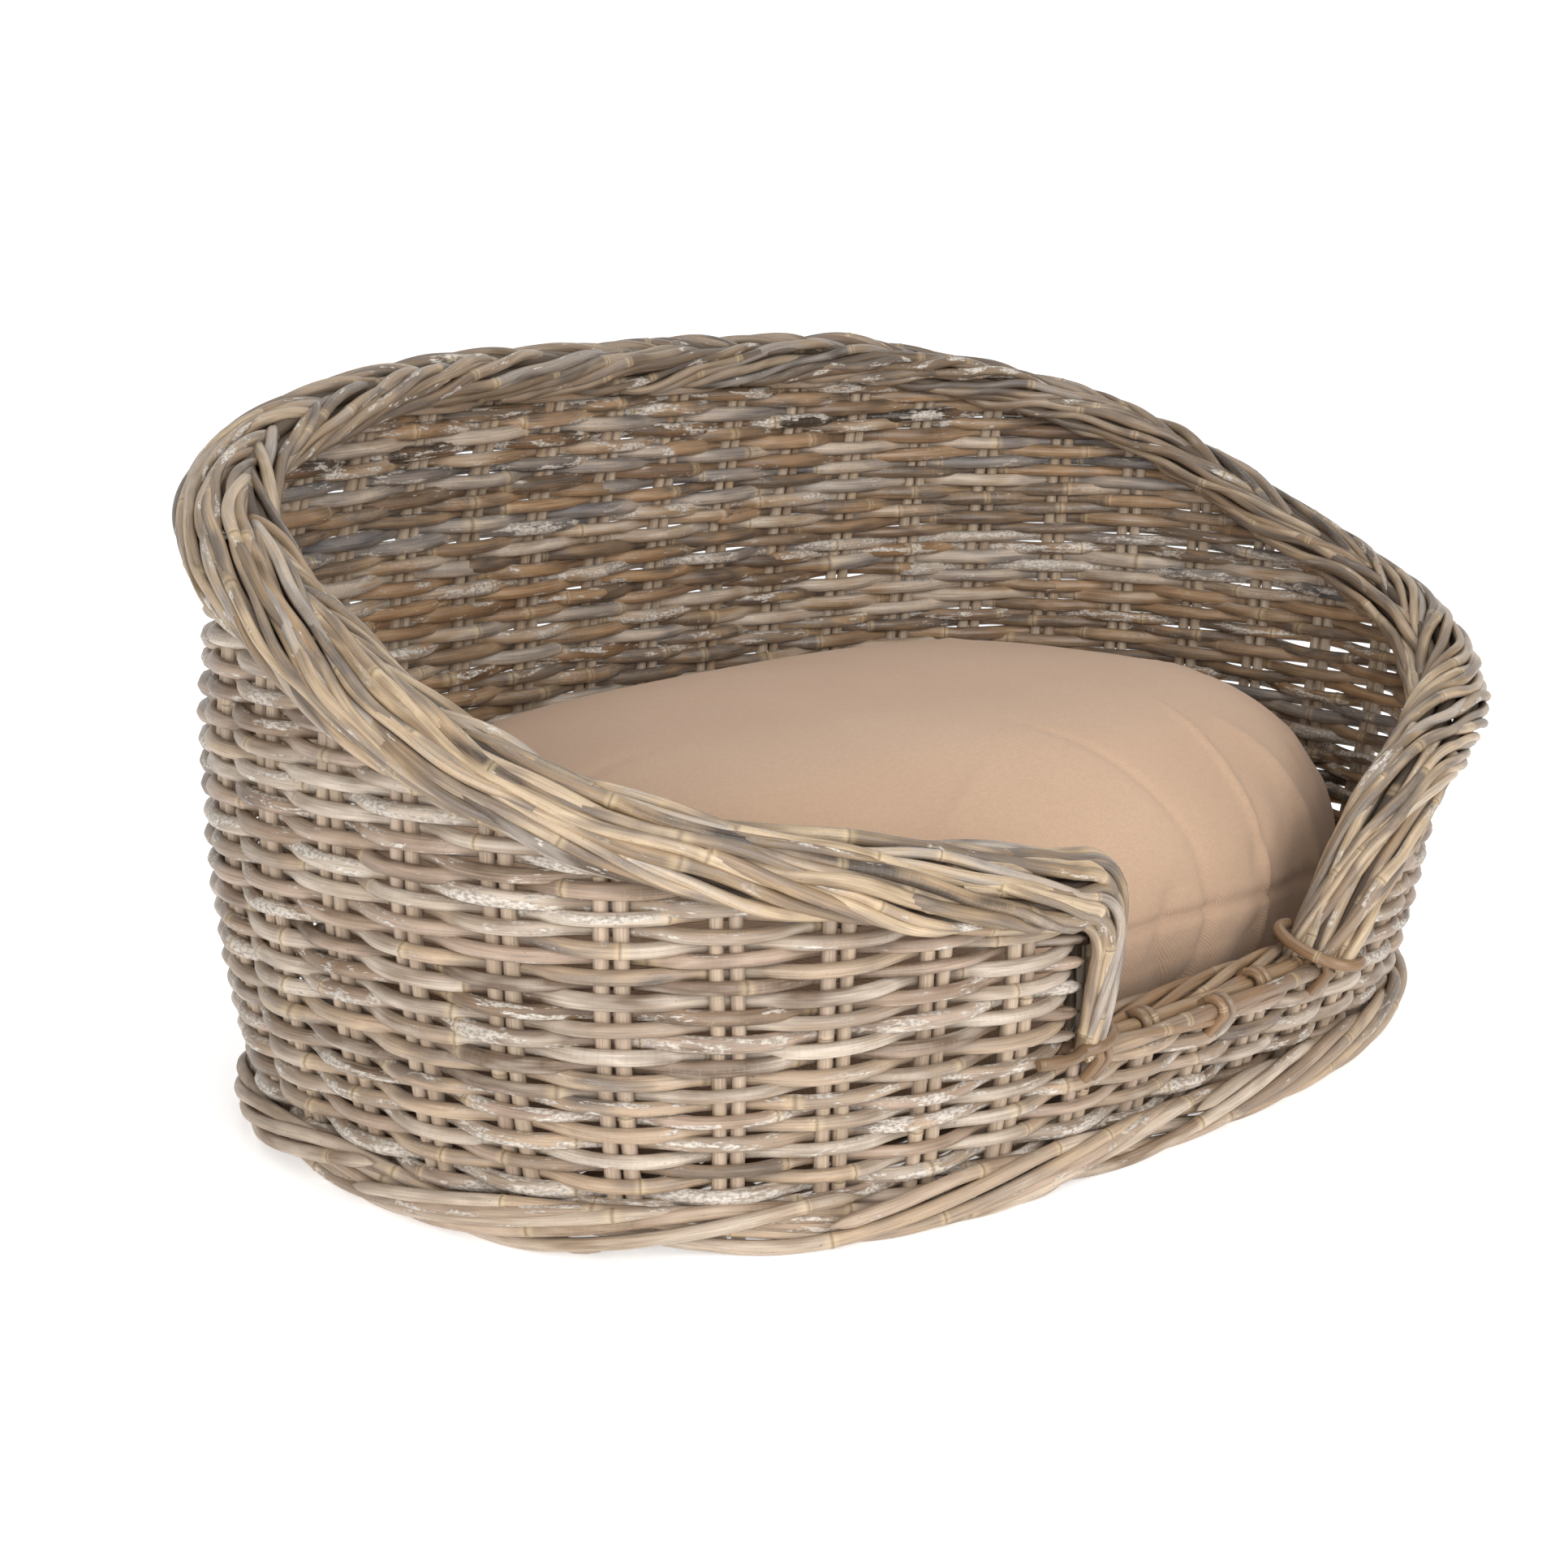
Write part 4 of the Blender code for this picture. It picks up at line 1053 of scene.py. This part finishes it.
def finish_cushion(obj, low, high, centre):
    count = len(obj.data.vertices)
    co = np.zeros(count * 3, np.float32)
    normal = np.zeros(count * 3, np.float32)
    obj.data.vertices.foreach_get("co", co)
    obj.data.vertices.foreach_get("normal", normal)
    co, normal = co.reshape(-1, 3).astype(float), normal.reshape(-1, 3).astype(float)
    half = (high - low) / 2
    rise = (co[:, 2] - low[2]) / (high[2] - low[2])
    co += normal * (cushion_folds(co, centre, half) * np.clip(rise * 6, 0, 1))[:, None]
    edge = np.clip(np.hypot((co[:, 0] - centre[0]) / half[0], (co[:, 1] - centre[1]) / half[1]), 0, 1)
    co[:, 2] += SHOULDER * 4 * edge**2 * (1 - edge**2) * np.clip((rise - 0.35) / 0.3, 0, 1)
    seam_z = low[2] + SEAM_SHARE * (high[2] - low[2]) + 0.004 * np.sin(np.arctan2(co[:, 1], co[:, 0]) * 3)
    near = np.exp(-((co[:, 2] - seam_z) / SEAM_HALF) ** 2) * (np.abs(normal[:, 2]) < 0.9)
    co -= normal * (near * SEAM_DEPTH)[:, None]
    lower = np.exp(-((co[:, 2] - low[2] - HEM_Z) / HEM_HALF) ** 2) * (np.abs(normal[:, 2]) < 0.95)
    co -= normal * (lower * HEM_DEPTH)[:, None]
    start, room = high[2] - CROWN_EASE, CROWN_EASE + CROWN_ROOM
    over = np.maximum(co[:, 2] - start, 0.0)
    co[:, 2] = np.minimum(co[:, 2], start) + room * (1 - np.exp(-over / room))
    co[:, 2] = np.maximum(co[:, 2], low[2] + FLOOR_ROOM)
    obj.data.vertices.foreach_set("co", co.astype(np.float32).ravel())
    obj.data.polygons.foreach_set("use_smooth", np.ones(len(obj.data.polygons), bool))
    obj.data.update()
    obj.data.materials.clear()
    obj.data.materials.append(CLOTH_MATERIAL)
    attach(obj, "cushion")
    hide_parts("cushion")


TWILL_PITCH, CROSS_PITCH = 0.0022, 0.0013


def cloth_material():
    """Plain beige cloth: a fine twill with slubs in it and a slow change of tone."""
    g = Graph("cushion_cloth")
    place = g.tree.nodes.new("ShaderNodeTexCoord").outputs["Object"]
    x, y, z = g.split(place)
    slant = g.add(g.add(x, g.mul(y, 1.4)), g.mul(z, 1.2))
    twill = g.math("SINE", g.mul(slant, 2 * math.pi / TWILL_PITCH))
    cross = g.math("SINE", g.mul(g.sub(x, y), 2 * math.pi / CROSS_PITCH))
    slub = g.noise(g.vector("MULTIPLY", place, (300.0, 620.0, 450.0)), 1.0, 4.0)
    broad = g.noise(place, 9.0, 3.0)
    colour = g.mix(broad, rgb(184, 153, 128), rgb(199, 169, 144))
    thread = g.add(g.mul(twill, 0.5), g.mul(slub, 1.3))
    colour = g.mix(g.mul(g.step(thread, -0.1, 1.3), 0.42), colour, rgb(158, 130, 106))
    g.put(g.shader.inputs["Base Color"], colour)
    g.shader.inputs["Roughness"].default_value = 0.92
    g.shader.inputs["Specular IOR Level"].default_value = 0.15
    g.shader.inputs["Sheen Weight"].default_value = 0.12
    height = g.add(g.mul(twill, 0.45), g.add(g.mul(cross, 0.15), slub))
    g.bump(height, 0.00028, 0.6)
    return g.material


CLOTH_MATERIAL = cloth_material()


# ---------------------------------------------------------------- stage

FLOOR_FRONT, FLOOR_BACK, FLOOR_BEND_R, FLOOR_TOP, FLOOR_SIDE = -6.0, 2.0, 1.5, 5.0, 8.0
FLOOR_TURN = math.radians(-45.37)
FLOOR_GLOW, WORLD_GLOW = 0.45, 0.28
# Each light: its place, width, height and power. All of them face AIM.
LIGHTS = {
    "key": ((-0.85, -2.6, 1.35), 2.2, 2.0, 68.0),
    "side": ((-2.5, -0.8, 0.75), 1.4, 1.2, 27.0),
    "top": ((0.2, -0.1, 2.4), 1.8, 1.8, 16.0),
}
AIM = Vector((0, 0, 0.15))
CAMERA_PLACE = (-1.13611, -1.01071, 0.50750)
CAMERA_LEVEL, CAMERA_TILT, CAMERA_ROLL = 0.76326, -0.22598, 0.00904
CAMERA_LENS = 61.2


def build_stage():
    """A pale floor that bends up behind the basket, the world's light and three lamps."""
    mesh = bpy.data.meshes.new("floor")
    bm = bmesh.new()
    profile = [(FLOOR_FRONT, 0.0), (FLOOR_BACK, 0.0)]
    for k in range(1, 13):
        a = math.pi / 2 * k / 12
        profile.append((FLOOR_BACK + FLOOR_BEND_R * math.sin(a), FLOOR_BEND_R - FLOOR_BEND_R * math.cos(a)))
    profile.append((FLOOR_BACK + FLOOR_BEND_R, FLOOR_TOP))
    rows = []
    for x in (-FLOOR_SIDE, FLOOR_SIDE):
        rows.append([bm.verts.new((x, y, z)) for y, z in profile])
    for k in range(len(profile) - 1):
        bm.faces.new((rows[0][k], rows[1][k], rows[1][k + 1], rows[0][k + 1]))
    bm.to_mesh(mesh)
    bm.free()
    mesh.shade_smooth()
    g = Graph("floor")
    g.shader.inputs["Base Color"].default_value = (0.90, 0.90, 0.90, 1)
    g.shader.inputs["Roughness"].default_value = 0.9
    g.shader.inputs["Emission Color"].default_value = (1, 1, 1, 1)
    g.shader.inputs["Emission Strength"].default_value = FLOOR_GLOW
    mesh.materials.append(g.material)
    floor = bpy.data.objects.new("floor", mesh)
    floor.rotation_euler = (0, 0, FLOOR_TURN)
    bpy.context.scene.collection.objects.link(floor)
    world = bpy.data.worlds.new("studio")
    world.use_nodes = True
    background = world.node_tree.nodes["Background"]
    background.inputs["Color"].default_value = (1, 1, 1, 1)
    background.inputs["Strength"].default_value = WORLD_GLOW
    bpy.context.scene.world = world
    bpy.context.scene.view_settings.view_transform = "Standard"
    for name, (place, wide, tall, power) in LIGHTS.items():
        light = bpy.data.lights.new(name, "AREA")
        light.shape = "RECTANGLE"
        light.size, light.size_y = wide, tall
        light.energy = power
        lamp = bpy.data.objects.new(name, light)
        lamp.location = place
        lamp.rotation_euler = (AIM - Vector(place)).to_track_quat("-Z", "Y").to_euler()
        bpy.context.scene.collection.objects.link(lamp)


def build_camera():
    """The camera at the photograph's place and angle."""
    camera = bpy.data.cameras.new("camera")
    camera.sensor_width = 36.0
    camera.lens = CAMERA_LENS
    camera.clip_start = 0.05
    obj = bpy.data.objects.new("camera", camera)
    obj.location = CAMERA_PLACE
    level, tilt = CAMERA_LEVEL, CAMERA_TILT
    aim = Vector((math.cos(tilt) * math.cos(level), math.cos(tilt) * math.sin(level), math.sin(tilt)))
    obj.rotation_euler = (aim.to_track_quat("-Z", "Y") @ Quaternion((0, 0, 1), CAMERA_ROLL)).to_euler()
    bpy.context.scene.collection.objects.link(obj)
    bpy.context.scene.camera = obj


build_camera()
build_stage()
build_weave()
build_stakes()
build_foot()
build_base()
build_rim()
build_ties()
build_sill()
build_sill_wraps()
build_cushion()

bpy.context.view_layer.update()
